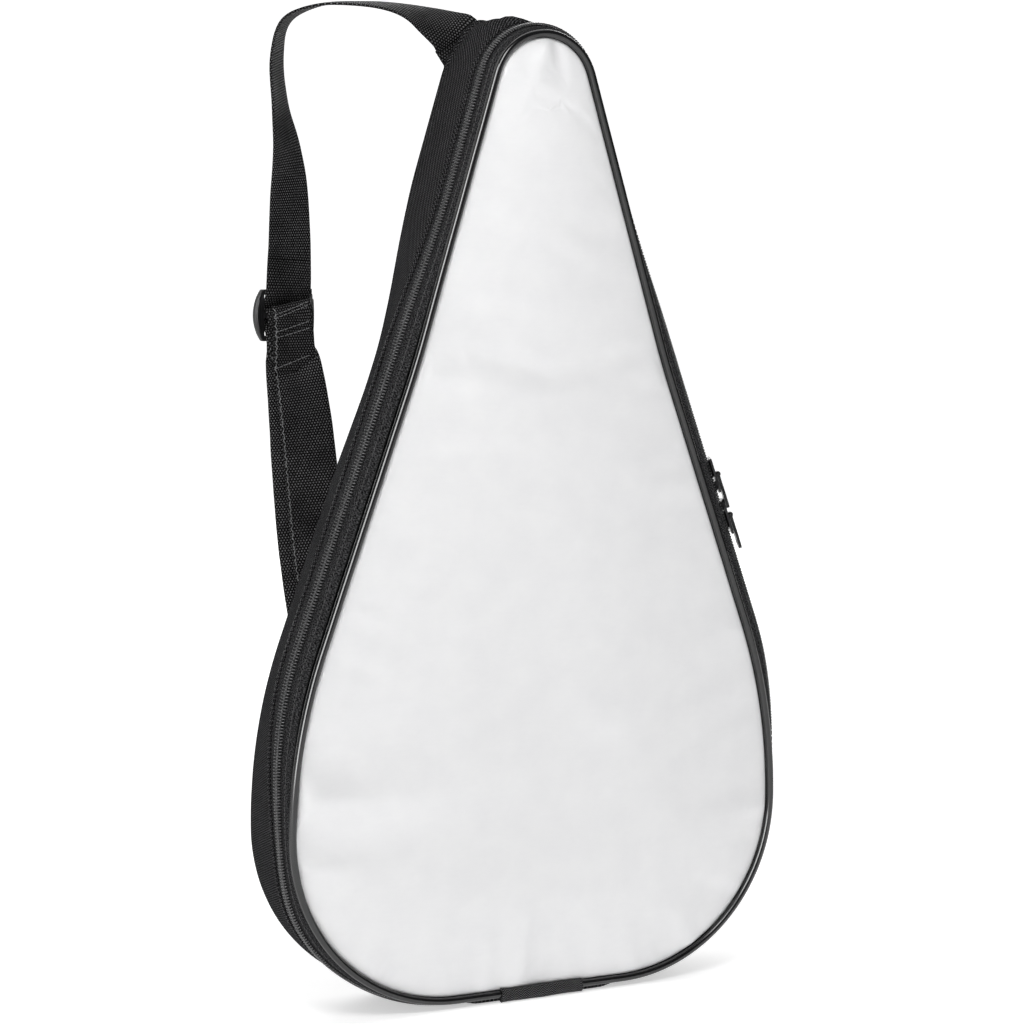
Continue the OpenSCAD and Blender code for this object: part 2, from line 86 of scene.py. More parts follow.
def outline_stations(step=3 * MM):
    """[x, z, normal angle, curve radius] up the right half, from the bottom's middle to the top."""
    corner = np.array([HINGE_X, BASE_Z + CORNER_R])
    side = np.array([CASE_W / 2 - SIDE_R, BASE_Z + CORNER_R])
    top = np.array([0, TOP_Z - TOP_R])
    flank_low, neck_top = side + SIDE_R * unit(FLANK_A), top + TOP_R * unit(NECK_A)
    up = [np.array([-math.sin(a), math.cos(a)]) for a in (FLANK_A, NECK_A)]
    knee = flank_low + up[0] * cross2(neck_top - flank_low, up[1]) / cross2(up[0], up[1])
    reach = DIP_R * math.tan((FLANK_A - NECK_A) / 2)
    dip_low, dip_high = knee - reach * up[0], knee + reach * up[1]
    dip = dip_low + DIP_R * unit(FLANK_A)
    rows = []

    def line(p, q, a):
        n = max(1, round(np.linalg.norm(q - p) / step))
        rows.extend([*(p + (q - p) * i / n), a, 0] for i in range(n))

    def arc(c, r, a0, a1, side_of=1):
        n = max(2, round(abs(a1 - a0) * r / step))
        for i in range(n):
            a = a0 + (a1 - a0) * i / n
            rows.append([*(c + side_of * r * unit(a)), a, side_of * r])

    line(np.array([0, BASE_Z]), np.array([HINGE_X, BASE_Z]), -math.pi / 2)
    arc(corner, CORNER_R, -math.pi / 2, 0)
    arc(side, SIDE_R, 0, FLANK_A)
    line(flank_low, dip_low, FLANK_A)
    arc(dip, DIP_R, FLANK_A, NECK_A, -1)
    line(dip_high, neck_top, NECK_A)
    arc(top, TOP_R, NECK_A, math.pi / 2)
    rows.append([*(top + TOP_R * unit(math.pi / 2)), math.pi / 2, TOP_R])
    return np.array(rows)


def circle(n):
    """Cosines and sines of n even turns."""
    t = np.arange(n) * 2 * math.pi / n
    return np.cos(t), np.sin(t)


def fade(d, reach):
    """Falls from 1 at distance 0; reach is in millimetres."""
    return np.exp(-d / (reach * MM))


def step01(t):
    t = np.clip(t, 0, 1)
    return t * t * (3 - 2 * t)


def depth(z):
    """The case's depth: it dips in at the knee and comes out again for the grip."""
    z = np.asarray(z) / MM
    grow = GRIP_D / MM - CASE_D / MM + KNEE_DIP
    dip, deepen = (step01((z - low) / run) for low, run in (DIP_Z, DEEPEN_Z))
    return MM * (CASE_D / MM - KNEE_DIP * dip + grow * deepen)


def bulge(z):
    """How far the sides swell past the seams."""
    z = np.asarray(z) / MM
    low = np.clip((z - BASE_Z / MM) / (CORNER_R / MM), 0, 1)
    rise, settle = (step01((z - start) / run) for start, run in (RISE_Z, SETTLE_Z))
    return MM * (SIDE_BULGE * rise - BULGE_LOSS * settle + CORNER_BULGE * np.sin(math.pi * low) ** 2)


def crown(d):
    return np.sin(math.pi * np.clip(d / CASE_D, 0, 1) ** BULGE_SKEW)


def face(z, d):
    """How far the side's outer face stands past the seam line at height z and depth d."""
    d = np.asarray(d, float)
    c0, c1 = crown(FLAT_D[0]), crown(FLAT_D[1])
    flat = c0 + (c1 - c0) * (d - FLAT_D[0]) / (FLAT_D[1] - FLAT_D[0])
    return bulge(z) * np.where((d > FLAT_D[0]) & (d < FLAT_D[1]), flat, crown(d))


def zip_slope(z):
    rise = bulge(z) * (crown(FLAT_D[1]) - crown(FLAT_D[0]))
    return np.arctan2(rise, FLAT_D[1] - FLAT_D[0])


RIGHT = outline_stations()
LEFT = RIGHT[:-1][::-1] * [-1, 1, -1, 1] + [0, 0, math.pi, 0]
RING = np.vstack([RIGHT, LEFT[:-1]])


class Path:
    """A run along the outline, sampled by its length. rows are [x, z, normal angle]."""

    def __init__(self, rows, off=0.0):
        self.rows = np.array(rows)[:, :3].astype(float)
        self.rows[:, 2] = np.unwrap(self.rows[:, 2])
        normal = np.c_[np.cos(self.rows[:, 2]), np.sin(self.rows[:, 2])]
        line = self.rows[:, :2] + off * normal
        gaps = np.linalg.norm(np.diff(line, axis=0), axis=1)
        self.s = np.r_[0, np.cumsum(gaps)]
        self.length = self.s[-1]

    def at(self, s):
        return np.array([np.interp(s, self.s, self.rows[:, k]) for k in range(3)]).T


def clip_path(x_limit, off=0.0):
    """The outline from x_limit on the bottom's right, up and over the top, to -x_limit."""
    ring = np.vstack([RIGHT, LEFT])
    keep = [r for r in ring if abs(r[0]) > x_limit or r[1] > BASE_Z + CORNER_R]
    ends = [[x_limit, BASE_Z, -math.pi / 2, 0], [-x_limit, BASE_Z, 1.5 * math.pi, 0]]
    if x_limit > HINGE_X:
        a = math.asin((x_limit - HINGE_X) / CORNER_R)
        z = BASE_Z + CORNER_R * (1 - math.cos(a))
        ends = [[x_limit, z, a - math.pi / 2, 0], [-x_limit, z, 1.5 * math.pi - a, 0]]
    return Path([ends[0], *keep, ends[1]], off)


def ring_path(off=0.0):
    """The whole outline, closed."""
    return Path(np.vstack([RING, RING[:1] + [0, 0, 2 * math.pi, 0]]), off)


def place(row, d, off):
    """Points in space for an outline row, at depth d and distance off outside the seam line."""
    x, z, a = row
    d, off = np.broadcast_arrays(np.asarray(d, float), np.asarray(off, float))
    return np.stack([x + off * math.cos(a), FRONT_Y + d, z + off * math.sin(a)], axis=-1)


def on_zip(z, u, h):
    a = zip_slope(z)
    return ZIP_D + u * np.cos(a) - h * np.sin(a), face(z, ZIP_D) + u * np.sin(a) + h * np.cos(a)


def hum(s, wave, seed):
    """A slow smooth wander between about -1 and 1 along a length."""
    return noise.noise(Vector((s / wave, seed * 7.31, seed * 1.7))) * 1.6


# ---------------------------------------------------------------- mesh helpers


TINY = 1e-12
ODD_WAY = np.array([0.31, 0.52, 0.79])  # a direction that no rod runs along
THREAD_SIDES = 5


def mesh_object(name, verts, faces, uvs=None, smooth=True):
    mesh = bpy.data.meshes.new(name)
    mesh.from_pydata([tuple(v) for v in verts], [], [tuple(f) for f in faces])
    mesh.validate()
    if uvs is not None:
        layer = mesh.uv_layers.new(name="UVMap")
        corner = np.zeros(len(mesh.loops), int)
        mesh.loops.foreach_get("vertex_index", corner)
        layer.data.foreach_set("uv", np.asarray(uvs, float)[corner].ravel())
    mesh.polygons.foreach_set("use_smooth", [smooth] * len(mesh.polygons))
    ob = bpy.data.objects.new(name, mesh)
    bpy.context.scene.collection.objects.link(ob)
    return ob


def finish_piece(ob, body, material, *nodes, slot=None):
    """Gives a piece its material, the body it rides on and the CAD nodes it stands for; slot is not used."""
    ob.data.materials.clear()
    ob.data.materials.append(MAT[material])
    if body:
        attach(ob, body)
    if nodes:
        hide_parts(*nodes)
    return ob


def clean(ob, merge=0.0, normals=True):
    """Joins points closer than merge and turns every face outwards."""
    bm = bmesh.new()
    bm.from_mesh(ob.data)
    if merge:
        bmesh.ops.remove_doubles(bm, verts=bm.verts, dist=merge)
    if normals:
        bmesh.ops.recalc_face_normals(bm, faces=bm.faces)
    bm.to_mesh(ob.data)
    bm.free()
    return ob


def grid_faces(rows, count, wrap=True, first=0, flip=False):
    """Quads over rows of count points each; wrap joins each row's last point to its first."""
    faces = []
    for k in range(rows - 1):
        for i in range(count if wrap else count - 1):
            a, b = (first + k * count + j for j in (i, (i + 1) % count))
            f = (a, b, b + count, a + count)
            faces.append(f[::-1] if flip else f)
    return faces


def sweep(name, rings, closed=False):
    """A closed tube through rings of points, one ring a station. UVs are metres along and round it."""
    rings = np.asarray(rings, float)
    n, m = rings.shape[:2]
    verts = rings.reshape(-1, 3)
    along = np.r_[0, np.cumsum(np.linalg.norm(np.diff(rings.mean(1), axis=0), axis=1))]
    around = np.r_[0, np.cumsum(np.linalg.norm(np.diff(rings[n // 2], axis=0), axis=1))]
    uvs = np.array([[along[i], around[j]] for i in range(n) for j in range(m)])
    faces, last = grid_faces(n, m), (n - 1) * m
    if closed:
        faces += [(last + j, last + (j + 1) % m, (j + 1) % m, j) for j in range(m)]
    else:
        faces += [range(m)[::-1], range(last, last + m)]
    return clean(mesh_object(name, verts, faces, uvs))


def sheet_section(top, thickness, edge=3):
    """A closed loop round an open line of (depth, offset) points, with rounded ends."""
    top = np.asarray(top, float)
    tangent = np.gradient(top, axis=0)
    tangent /= np.linalg.norm(tangent, axis=1, keepdims=True)
    out = np.c_[-tangent[:, 1], tangent[:, 0]]
    mid, half = top - out * thickness / 2, thickness / 2

    def end(k, sign):
        turns = [math.pi * (i + 1) / (edge + 1) for i in range(edge)]
        return [
            mid[k] + half * (math.cos(t) * out[k] * sign + math.sin(t) * tangent[k] * sign) for t in turns
        ]

    under = (mid - out * half)[::-1]
    return np.vstack([top, end(-1, 1), under, end(0, -1)])


def tubes(name, paths, radius, sides=6):
    """Many short round rods in one mesh. paths is [rod][point][xyz]; all have the same point count."""
    paths = np.asarray(paths, float)
    count, n = paths.shape[:2]
    tangent = np.gradient(paths, axis=1)
    tangent /= np.linalg.norm(tangent, axis=2, keepdims=True) + TINY
    side = np.cross(tangent.mean(1) + paths[:, -1] - paths[:, 0], ODD_WAY)[:, None]
    first = side - (side * tangent).sum(2, keepdims=True) * tangent
    first /= np.linalg.norm(first, axis=2, keepdims=True) + TINY
    second = np.cross(tangent, first)
    c, sn = (v[:, None] for v in circle(sides))
    rings = paths[:, :, None] + radius * (c * first[:, :, None] + sn * second[:, :, None])
    step = n * sides
    one = np.array(grid_faces(n, sides))
    faces = (one[None] + (np.arange(count) * step)[:, None, None]).reshape(-1, 4).tolist()
    for start in range(0, count * step, step):
        faces += [range(start, start + sides)[::-1], range(start + step - sides, start + step)]
    return mesh_object(name, rings.reshape(-1, 3), faces)


# ---------------------------------------------------------------- materials


class Nodes:
    """Builds one node material. Calls return output sockets."""

    def __init__(self, name):
        self.mat = bpy.data.materials.new(name)
        self.mat.use_nodes = True
        self.tree = self.mat.node_tree
        self.shader = self.tree.nodes["Principled BSDF"]

    def put(self, sock, value):
        if isinstance(value, bpy.types.NodeSocket):
            self.tree.links.new(value, sock)
        else:
            sock.default_value = (*value, 1) if sock.type == "RGBA" else value

    def node(self, kind, values=None, **props):
        n = self.tree.nodes.new(kind)
        for k, v in props.items():
            setattr(n, k, v)
        for k, v in (values or {}).items():
            self.put(n.inputs[k], v)
        return n

    def math(self, op, a, b=0.0):
        return self.node("ShaderNodeMath", {0: a, 1: b}, operation=op).outputs[0]

    def add(self, a, b):
        return self.math("ADD", a, b)

    def mul(self, a, b):
        return self.math("MULTIPLY", a, b)

    def spread(self, fac, lo, hi):
        """lo to hi as fac goes from 0 to 1."""
        return self.node("ShaderNodeMapRange", {0: fac, 3: lo, 4: hi}).outputs[0]

    def coords(self, kind="UV", scale=(1, 1, 1)):
        tex = self.node("ShaderNodeTexCoord")
        return self.node("ShaderNodeMapping", {"Vector": tex.outputs[kind], "Scale": scale}).outputs[0]

    def split(self, vector):
        return self.node("ShaderNodeSeparateXYZ", {0: vector}).outputs

    def noise(self, vector, scale, detail=3.0, rough=0.55):
        values = {"Vector": vector, "Scale": scale, "Detail": detail, "Roughness": rough}
        return self.node("ShaderNodeTexNoise", values).outputs[0]

    def mix(self, fac, a, b):
        return self.node("ShaderNodeMix", {0: fac, 6: a, 7: b}, data_type="RGBA").outputs[2]

    def ramp(self, fac, lo, hi):
        """0 to 1 as fac goes from lo to hi."""
        return self.node("ShaderNodeMapRange", {0: fac, 1: lo, 2: hi}, clamp=True).outputs[0]

    def bump(self, height, distance, strength=1.0, normal=None):
        values = {"Height": height, "Distance": distance, "Strength": strength}
        if normal is not None:
            values["Normal"] = normal
        return self.node("ShaderNodeBump", values).outputs[0]

    def set(self, **values):
        for k, v in values.items():
            self.put(self.shader.inputs[k.replace("_", " ")], v)
        return self.mat


def printed_cloth():
    """White satin-faced polyester: a very fine weave, soft sheen, faint mottling."""
    n = Nodes("white_cloth")
    pos = n.coords("Object")
    x, _, z = n.split(pos)
    warp = n.math("SINE", n.mul(x, 2 * math.pi / (0.75 * MM)))
    weft = n.math("SINE", n.mul(z, 2 * math.pi / (0.6 * MM)))
    weave = n.mul(warp, weft)
    mottle = n.noise(pos, 60, 4)
    slub = n.noise(n.coords("Object", (140, 140, 900)), 1, 2)
    tone = n.add(n.mul(mottle, 0.8), n.mul(slub, 0.2))
    colour = n.mix(n.ramp(tone, 0.3, 0.7), (0.82, 0.82, 0.83), (0.86, 0.86, 0.865))
    soft = n.bump(n.noise(pos, 26, 2), 1.2 * MM, 0.1)
    fine = n.bump(n.add(weave, n.mul(slub, 0.5)), 0.03 * MM, 0.5, soft)
    rough = n.spread(mottle, 0.46, 0.6)
    return n.set(
        Base_Color=colour, Roughness=rough, Normal=fine, Sheen_Weight=0.15, Sheen_Roughness=0.4,
        Specular_IOR_Level=0.35,
    )


def twill(name, dark, light, pitch, rough=0.7, bump=0.12, lean=45, sheen=0.03, spec=0.22, speck=0.0):
    """Black cloth with diagonal ribs broken into short floats and flecks of lit fibre, in metres of UV."""
    n = Nodes(name)
    uv = n.coords("UV")
    u, v, _ = n.split(uv)
    a = math.radians(lean)
    k = 2 * math.pi / (pitch * MM)
    diag = n.add(n.mul(u, k * math.cos(a)), n.mul(v, k * math.sin(a)))
    cross = n.math("SUBTRACT", n.mul(u, k * 1.3), n.mul(v, k * 0.35))
    ribs = n.math("SINE", diag)
    floats = n.math("SINE", cross)
    weave = n.add(n.mul(ribs, 0.65), n.mul(floats, 0.35))
    fuzz = n.noise(uv, 1800, 2)
    shade = n.noise(uv, 45, 3)
    height = n.add(weave, n.mul(fuzz, 0.8))
    lit = n.math("POWER", n.ramp(weave, -0.1, 0.95), 1.7)
    tone = n.mul(lit, n.add(0.35, n.add(n.mul(shade, 0.7), fuzz)))
    fleck = n.mul(n.ramp(n.noise(uv, 1600, 2), 0.42, 0.7), speck * 1.25)
    tone = n.add(n.mul(tone, 1 - speck), fleck)
    colour = n.mix(n.ramp(tone, 0.0, 1.25), dark, light)
    normal = n.bump(height, bump * MM, 0.9)
    return n.set(
        Base_Color=colour, Roughness=rough, Normal=normal, Sheen_Weight=sheen, Sheen_Roughness=0.5,
        Specular_IOR_Level=spec,
    )


def herringbone():
    """Coarse tape woven in short zigzags, in metres of UV."""
    n = Nodes("sleeve_cloth")
    uv = n.coords("UV")
    u, v, _ = n.split(uv)
    zig = n.math("PINGPONG", n.add(u, 1.0), 2.6 * MM)
    k = 2 * math.pi / (1.3 * MM)
    ribs = n.math("SINE", n.mul(n.add(n.mul(zig, 0.9), v), k))
    fuzz = n.noise(uv, 1800, 2)
    lit = n.mul(n.math("POWER", n.ramp(ribs, -0.2, 1.0), 2.0), n.add(0.4, fuzz))
    colour = n.mix(lit, (0.002, 0.002, 0.002), (0.24, 0.24, 0.245))
    normal = n.bump(n.add(ribs, n.mul(fuzz, 0.6)), 0.35 * MM, 0.9)
    return n.set(Base_Color=colour, Roughness=0.65, Normal=normal, Specular_IOR_Level=0.04)


def vinyl():
    n = Nodes("piping_vinyl")
    pos = n.coords("Object")
    grain = n.noise(pos, 900, 3)
    slow = n.noise(pos, 40, 2)
    normal = n.bump(grain, 0.05 * MM, 0.25, n.bump(slow, 1.0 * MM, 0.3))
    rough = n.spread(slow, 0.12, 0.2)
    colour = n.mix(slow, (0.004, 0.004, 0.0045), (0.008, 0.008, 0.0085))
    return n.set(Base_Color=colour, Roughness=rough, Normal=normal, Specular_IOR_Level=0.72)


def plastic(name, lo, hi, rough=(0.28, 0.42), grain=0.04):
    n = Nodes(name)
    pos = n.coords("Object")
    fine, slow = n.noise(pos, 2200, 2), n.noise(pos, 90, 3)
    normal = n.bump(fine, grain * MM, 0.4)
    roughness = n.spread(slow, rough[0], rough[1])
    return n.set(Base_Color=n.mix(slow, lo, hi), Roughness=roughness, Normal=normal)


def painted_metal():
    n = Nodes("slider_metal")
    pos = n.coords("Object")
    slow, fine = n.noise(pos, 160, 4), n.noise(pos, 1500, 2)
    worn = n.ramp(n.mul(slow, fine), 0.36, 0.5)
    colour = n.mix(worn, (0.012, 0.012, 0.013), (0.05, 0.05, 0.052))
    rough = n.spread(slow, 0.22, 0.4)
    return n.set(Base_Color=colour, Roughness=rough, Metallic=0.55, Normal=n.bump(fine, 0.03 * MM, 0.3))


def webbing():
    """Coarse webbing: staggered raised knots in rows across the strap, each coloured bright as a painted
    highlight, under slow blotches of painted shade. UV is metres along and across.
    """
    n = Nodes("webbing")
    uv = n.coords("UV")
    u, v, _ = n.split(uv)
    row = n.math("DIVIDE", n.add(u, 1.0), 1.4 * MM)
    odd = n.mul(n.math("MODULO", n.math("FLOOR", row), 2.0), 0.5)
    col = n.add(n.math("DIVIDE", n.add(v, 1.0), 1.7 * MM), odd)
    in_row = n.mul(n.math("SUBTRACT", n.math("FRACT", row), 0.5), 2.1)
    in_col = n.mul(n.math("SUBTRACT", n.math("FRACT", col), 0.5), 2.5)
    r2 = n.add(n.mul(in_row, in_row), n.mul(in_col, in_col))
    # the knots are raised in the bump, and their bright colour is a painted highlight on the raised yarns
    knot_and_highlight = n.ramp(n.math("SUBTRACT", 1.0, r2), -0.1, 1.0)
    fuzz = n.noise(uv, 2500, 2)
    shade = n.ramp(n.noise(uv, 30, 2), 0.3, 0.66)
    # shade darkens the painted highlights in slow blotches: painted shade
    tone = n.mul(n.math("POWER", knot_and_highlight, 2.2), n.add(0.3, n.mul(shade, 0.6)))
    colour = n.mix(tone, (0.0008, 0.0008, 0.001), (0.27, 0.27, 0.275))
    normal = n.bump(n.add(knot_and_highlight, n.mul(fuzz, 0.25)), 0.45 * MM, 0.9)
    rough = n.spread(knot_and_highlight, 0.8, 0.4)
    return n.set(Base_Color=colour, Roughness=rough, Normal=normal, Specular_IOR_Level=0.05)


def thread(name, colour, rough=0.6):
    n = Nodes(name)
    pos = n.coords("Object")
    ply = n.noise(n.coords("Object", (900, 900, 900)), 1, 2)
    twist = n.bump(n.noise(pos, 3000), 0.05 * MM, 0.5)
    return n.set(Base_Color=n.mix(ply, tuple(c * 0.7 for c in colour), colour), Roughness=rough, Normal=twist)


MAT = {
    "white_cloth": printed_cloth(),
    "black_cloth": twill(
        "black_cloth", (0.002, 0.002, 0.0021), (0.17, 0.17, 0.176), 1.6,
        bump=0.35, sheen=0, spec=0, speck=0.2,
    ),
    "zip_tape": twill(
        "zip_tape", (0.004, 0.004, 0.0042), (0.12, 0.12, 0.124), 0.9,
        bump=0.15, lean=62, sheen=0, spec=0, speck=0.7,
    ),
    "binding": twill("binding", (0.006, 0.006, 0.0065), (0.03, 0.03, 0.032), 1.4, lean=0, bump=0.15),
    "sleeve_cloth": herringbone(),
    "lining": twill("lining", (0.03, 0.03, 0.032), (0.075, 0.075, 0.08), 0.9, lean=90, bump=0.06),
    "piping_vinyl": vinyl(),
    "zip_coil": plastic("zip_coil", (0.04, 0.04, 0.041), (0.09, 0.09, 0.092), (0.2, 0.3)),
    "strap_plastic": plastic("strap_plastic", (0.006, 0.006, 0.0065), (0.012, 0.012, 0.013), (0.3, 0.42)),
    "slider_metal": painted_metal(),
    "webbing": webbing(),
    "black_thread": thread("thread_black", (0.035, 0.035, 0.037), 0.45),
    "pale_thread": thread("thread_grey", (0.21, 0.21, 0.215), 0.5),
}

# ---------------------------------------------------------------- padded sheets

SPINE_LOW, SPINE_HIGH = 112 * MM, 468 * MM
EDGE_RINGS = np.array([0, 0.7, 1.6, 2.8, 4.4, 6.4, 9, 12, 16]) * MM
INNER_RINGS = 20
WELD = 0.02 * MM
PUFF_CAP = 6 * MM
SIM_FRAMES = 20
SEWN_LOOPS = 2
CLOTH = {
    "quality": 6, "mass": 0.25, "tension_stiffness": 12, "compression_stiffness": 12, "shear_stiffness": 4,
    "bending_stiffness": 0.6, "vertex_group_mass": "sewn", "shrink_min": -0.004, "use_pressure": True,
    "uniform_pressure_force": 4, "air_damping": 3,
}


def leaf(inset, step=4 * MM):
    """Loops from the outline in to a spine up the middle: ([loop][station][x, z], edge distances)."""
    path = ring_path()
    count = round(path.length / step / 2) * 2
    rows = path.at(np.arange(count) * path.length / count)
    edge = rows[:, :2] - inset * np.c_[np.cos(rows[:, 2]), np.sin(rows[:, 2])]
    spine = np.c_[np.zeros(count), np.clip(edge[:, 1], SPINE_LOW, SPINE_HIGH)]
    span = np.linalg.norm(edge - spine, axis=1)[:, None]
    near = np.minimum(EDGE_RINGS[None], span * 0.55)
    far = near[:, -1:] + (span - near[:, -1:]) * np.arange(1, INNER_RINGS + 1)[None] / INNER_RINGS
    dist = np.hstack([near, far]).T
    loops = edge[None] + (spine - edge)[None] * (dist / span.T)[:, :, None]
    return loops, dist


def pad(name, inset, outer, inner, puff=None):
    """A closed pad over the whole outline. outer and inner give depth from (x, z, distance from the edge)."""
    loops, dist = leaf(inset)
    n, count = loops.shape[:2]
    x, z = loops[..., 0].ravel(), loops[..., 1].ravel()
    d = dist.ravel()
    y_out = outer(x, z, d)
    if puff is not None:
        y_out = puff(x, y_out, z, n, count)
    y_in = inner(x, z, d)
    verts = np.vstack([np.c_[x, y_out, z], np.c_[x, y_in, z]])
    inside = n * count
    faces = grid_faces(n, count) + grid_faces(n, count, True, inside, True)
    faces += [((i + 1) % count, i, inside + i, inside + (i + 1) % count) for i in range(count)]
    ob = clean(mesh_object(name, verts, faces, np.vstack([np.c_[x, z]] * 2)), WELD)
    sub = ob.modifiers.new("smooth", "SUBSURF")
    sub.levels = sub.render_levels = 1
    return ob


def tuck(x, z, d, amount, reach, seed, wave=17.0):
    """Small gathers that run in from the edge and die away."""
    angle = np.arctan2(z - 0.2, x)
    fold = np.array([
        noise.noise(Vector((a * wave, seed, q * 9)))
        + 0.5 * noise.noise(Vector((a * wave * 2.3, seed + 4, q * 14)))
        for a, q in zip(angle, d)
    ])
    return amount * fold * np.exp(-d / reach) * (1 - fade(d, 2.5))


def swell(x, y, z, n, count):
    """The cover's cloth blown out over its foam by cloth simulation, held all round its sewn edge."""
    size = n * count
    ob = mesh_object("cover_sim", np.c_[x, y, z], grid_faces(n, count))
    ob.data.attributes.new("row", "INT", "POINT").data.foreach_set("value", np.arange(size))
    clean(ob, WELD, normals=False)
    rows = np.zeros(len(ob.data.vertices), int)
    ob.data.attributes["row"].data.foreach_get("value", rows)
    pins = ob.vertex_groups.new(name="sewn")
    pins.add([i for i, r in enumerate(rows) if r < SEWN_LOOPS * count], 1.0, "REPLACE")
    cloth = ob.modifiers.new("cloth", "CLOTH")
    for key, value in CLOTH.items():
        setattr(cloth.settings, key, value)
    cloth.settings.effector_weights.gravity = 0
    cloth.collision_settings.use_collision = False
    cloth.point_cache.frame_start, cloth.point_cache.frame_end = 1, SIM_FRAMES
    scene = bpy.context.scene
    for f in range(1, SIM_FRAMES + 1):
        scene.frame_set(f)
    done = ob.evaluated_get(bpy.context.evaluated_depsgraph_get()).to_mesh()
    end = np.array([v.co.y for v in done.vertices])
    scene.frame_set(1)
    start = np.array([v.co.y for v in ob.data.vertices])
    shift = np.zeros(size)
    shift[rows] = np.clip(end - start, -PUFF_CAP, PUFF_CAP)
    # points merged on the spine take their twin's move
    twins = {}
    for k in range(size - count, size):
        twins.setdefault(round(z[k] / WELD), []).append(k)
    for group in twins.values():
        shift[group] = max(shift[group], key=abs)
    bpy.data.objects.remove(ob)
    return y + shift


# creases in the cover: where each starts, its lean, how far it runs, how wide and how deep it is
PUCKERS = [
    ((-138, 118), 8, 60, 8, 2.4), ((-139, 96), 2, 44, 6, -1.8), ((-134, 142), 20, 56, 8, -1.7),
    ((-136, 82), 10, 26, 3, 1.3),
    ((-104, 16), 62, 24, 3, 1.1), ((-96, 13), 70, 22, 2.6, -0.9), ((-20, 4), 62, 22, 2.6, 1.4),
    ((-6, 4), 40, 26, 2.8, -1.2), ((-34, 4), 75, 18, 2.2, 0.8), ((96, 14), 120, 24, 3, 0.9),
    ((0, 508), 258, 26, 3.2, 2.2), ((6, 507), 275, 22, 2.6, -1.3), ((138, 90), 172, 30, 5, 0.9),
    ((-60, 330), -20, 50, 9, 0.6), ((60, 330), 205, 44, 8, 0.5), ((30, 150), 100, 60, 16, 0.6),
]
PUCKER_SCALE = 2.3


def pucker(x, z, d, at, lean, reach, wide, rise):
    """One soft crease that starts at a point by the edge and runs in, leaning by an angle."""
    dx, dz = x - at[0], z - at[1]
    along = dx * math.cos(lean) + dz * math.sin(lean)
    side = -dx * math.sin(lean) + dz * math.cos(lean)
    spread = wide * (1 + np.maximum(along, 0) / reach)
    body = np.exp(-(side / spread) ** 2) * np.exp(-np.maximum(along, 0) / reach) * (along > -8 * MM)
    return PUCKER_SCALE * rise * body * (1 - fade(d, 2.5))


def cover_face(x, z, d):
    """Depth of the cover's face: a rim at the seam, a quick roll outwards, a slow crown, and creases."""
    edge = 1.0 * fade(d, 1.1) - 2.6 * (1 - fade(d, 5))
    y = FRONT_Y + MM * (edge - 3.2 * step01(d / (85 * MM)))
    y = y + tuck(x, z, d, 1.0 * MM, 9 * MM, 3.0, 26.0) + tuck(x, z, d, 1.1 * MM, 34 * MM, 5.0, 8.0)
    for at, lean, reach, wide, rise in PUCKERS:
        y = y - pucker(x, z, d, np.array(at) * MM, math.radians(lean), reach * MM, wide * MM, rise * MM)
    return y


def layer(start, *swells, gather=None, back=False):
    """A depth function in millimetres past the front seam, or past the back's depth. Each of swells is
    (amount, reach): what is added away from the edge. gather is the size, reach and seed of its tucks."""
    def at(x, z, d):
        more = sum(a * (1 - fade(d, r)) for a, r in swells)
        y = FRONT_Y + (depth(z) if back else 0 * z) + MM * (start + more)
        return y + tuck(x, z, d, gather[0] * MM, gather[1] * MM, gather[2]) if gather else y

    return at


def build_pads():
    """The cover and the back, each a padded cloth with its lining."""
    puff = swell
    cover = pad("cover_cloth", 4.0 * MM, cover_face, layer(2.0, (1.8, 3)), puff)
    finish_piece(cover, "front_cover", "white_cloth", "front_panel", "front_padding")
    inner = layer(4.5, (0.5, 14), gather=(0.9, 16, 8.0))
    finish_piece(pad("cover_lining", 4.9 * MM, layer(3.95), inner), "front_cover", "lining", "front_lining")
    outer = layer(-1.3, (1.3, 3), (1.3, 60), gather=(1.3, 18, 12.0), back=True)
    back = pad("back_cloth", 0.8 * MM, outer, layer(-2.2, (-1.8, 4), back=True))
    finish_piece(warp_mesh(back, pull_up), "back_shell", "black_cloth", "back_panel", "back_padding")
    inner = layer(-4.8, (-0.6, 20), gather=(0.9, 18, 15.0), back=True)
    lining = pad("back_lining_cloth", 4.9 * MM, layer(-4.1, back=True), inner)
    finish_piece(warp_mesh(lining, pull_up), "back_shell", "lining", "back_lining")


# ---------------------------------------------------------------- seams, gusset and zip

PIPING_OFF, PIPING_Y, PIPING_R = -2.25 * MM, -1.0 * MM, 1.95 * MM
SLEEVE_X = 24 * MM


def round_section(d, off, r, sides=14, squash=1.0):
    c, sn = circle(sides)
    return d + r * c, off + r * squash * sn


def build_piping():
    path = clip_path(SLEEVE_X - 1.5 * MM, PIPING_OFF)

    def cord(row, s):
        wobble = 0.12 * MM * hum(s, 0.03, 1)
        return np.array(round_section(PIPING_Y + wobble, PIPING_OFF, PIPING_R)).T

    def flange(row, s):
        return sheet_section(np.array([(0.6, -0.6), (0.9, -1.6), (1.0, -3.8)]) * MM, 0.5 * MM)

    ob = sweep("piping", run_rings(path, cord, 2.5 * MM))
    finish_piece(ob, "front_cover", "piping_vinyl", "front_piping")
    ob = sweep("piping_flange", run_rings(path, flange, 4 * MM))
    finish_piece(ob, "front_cover", "piping_vinyl")


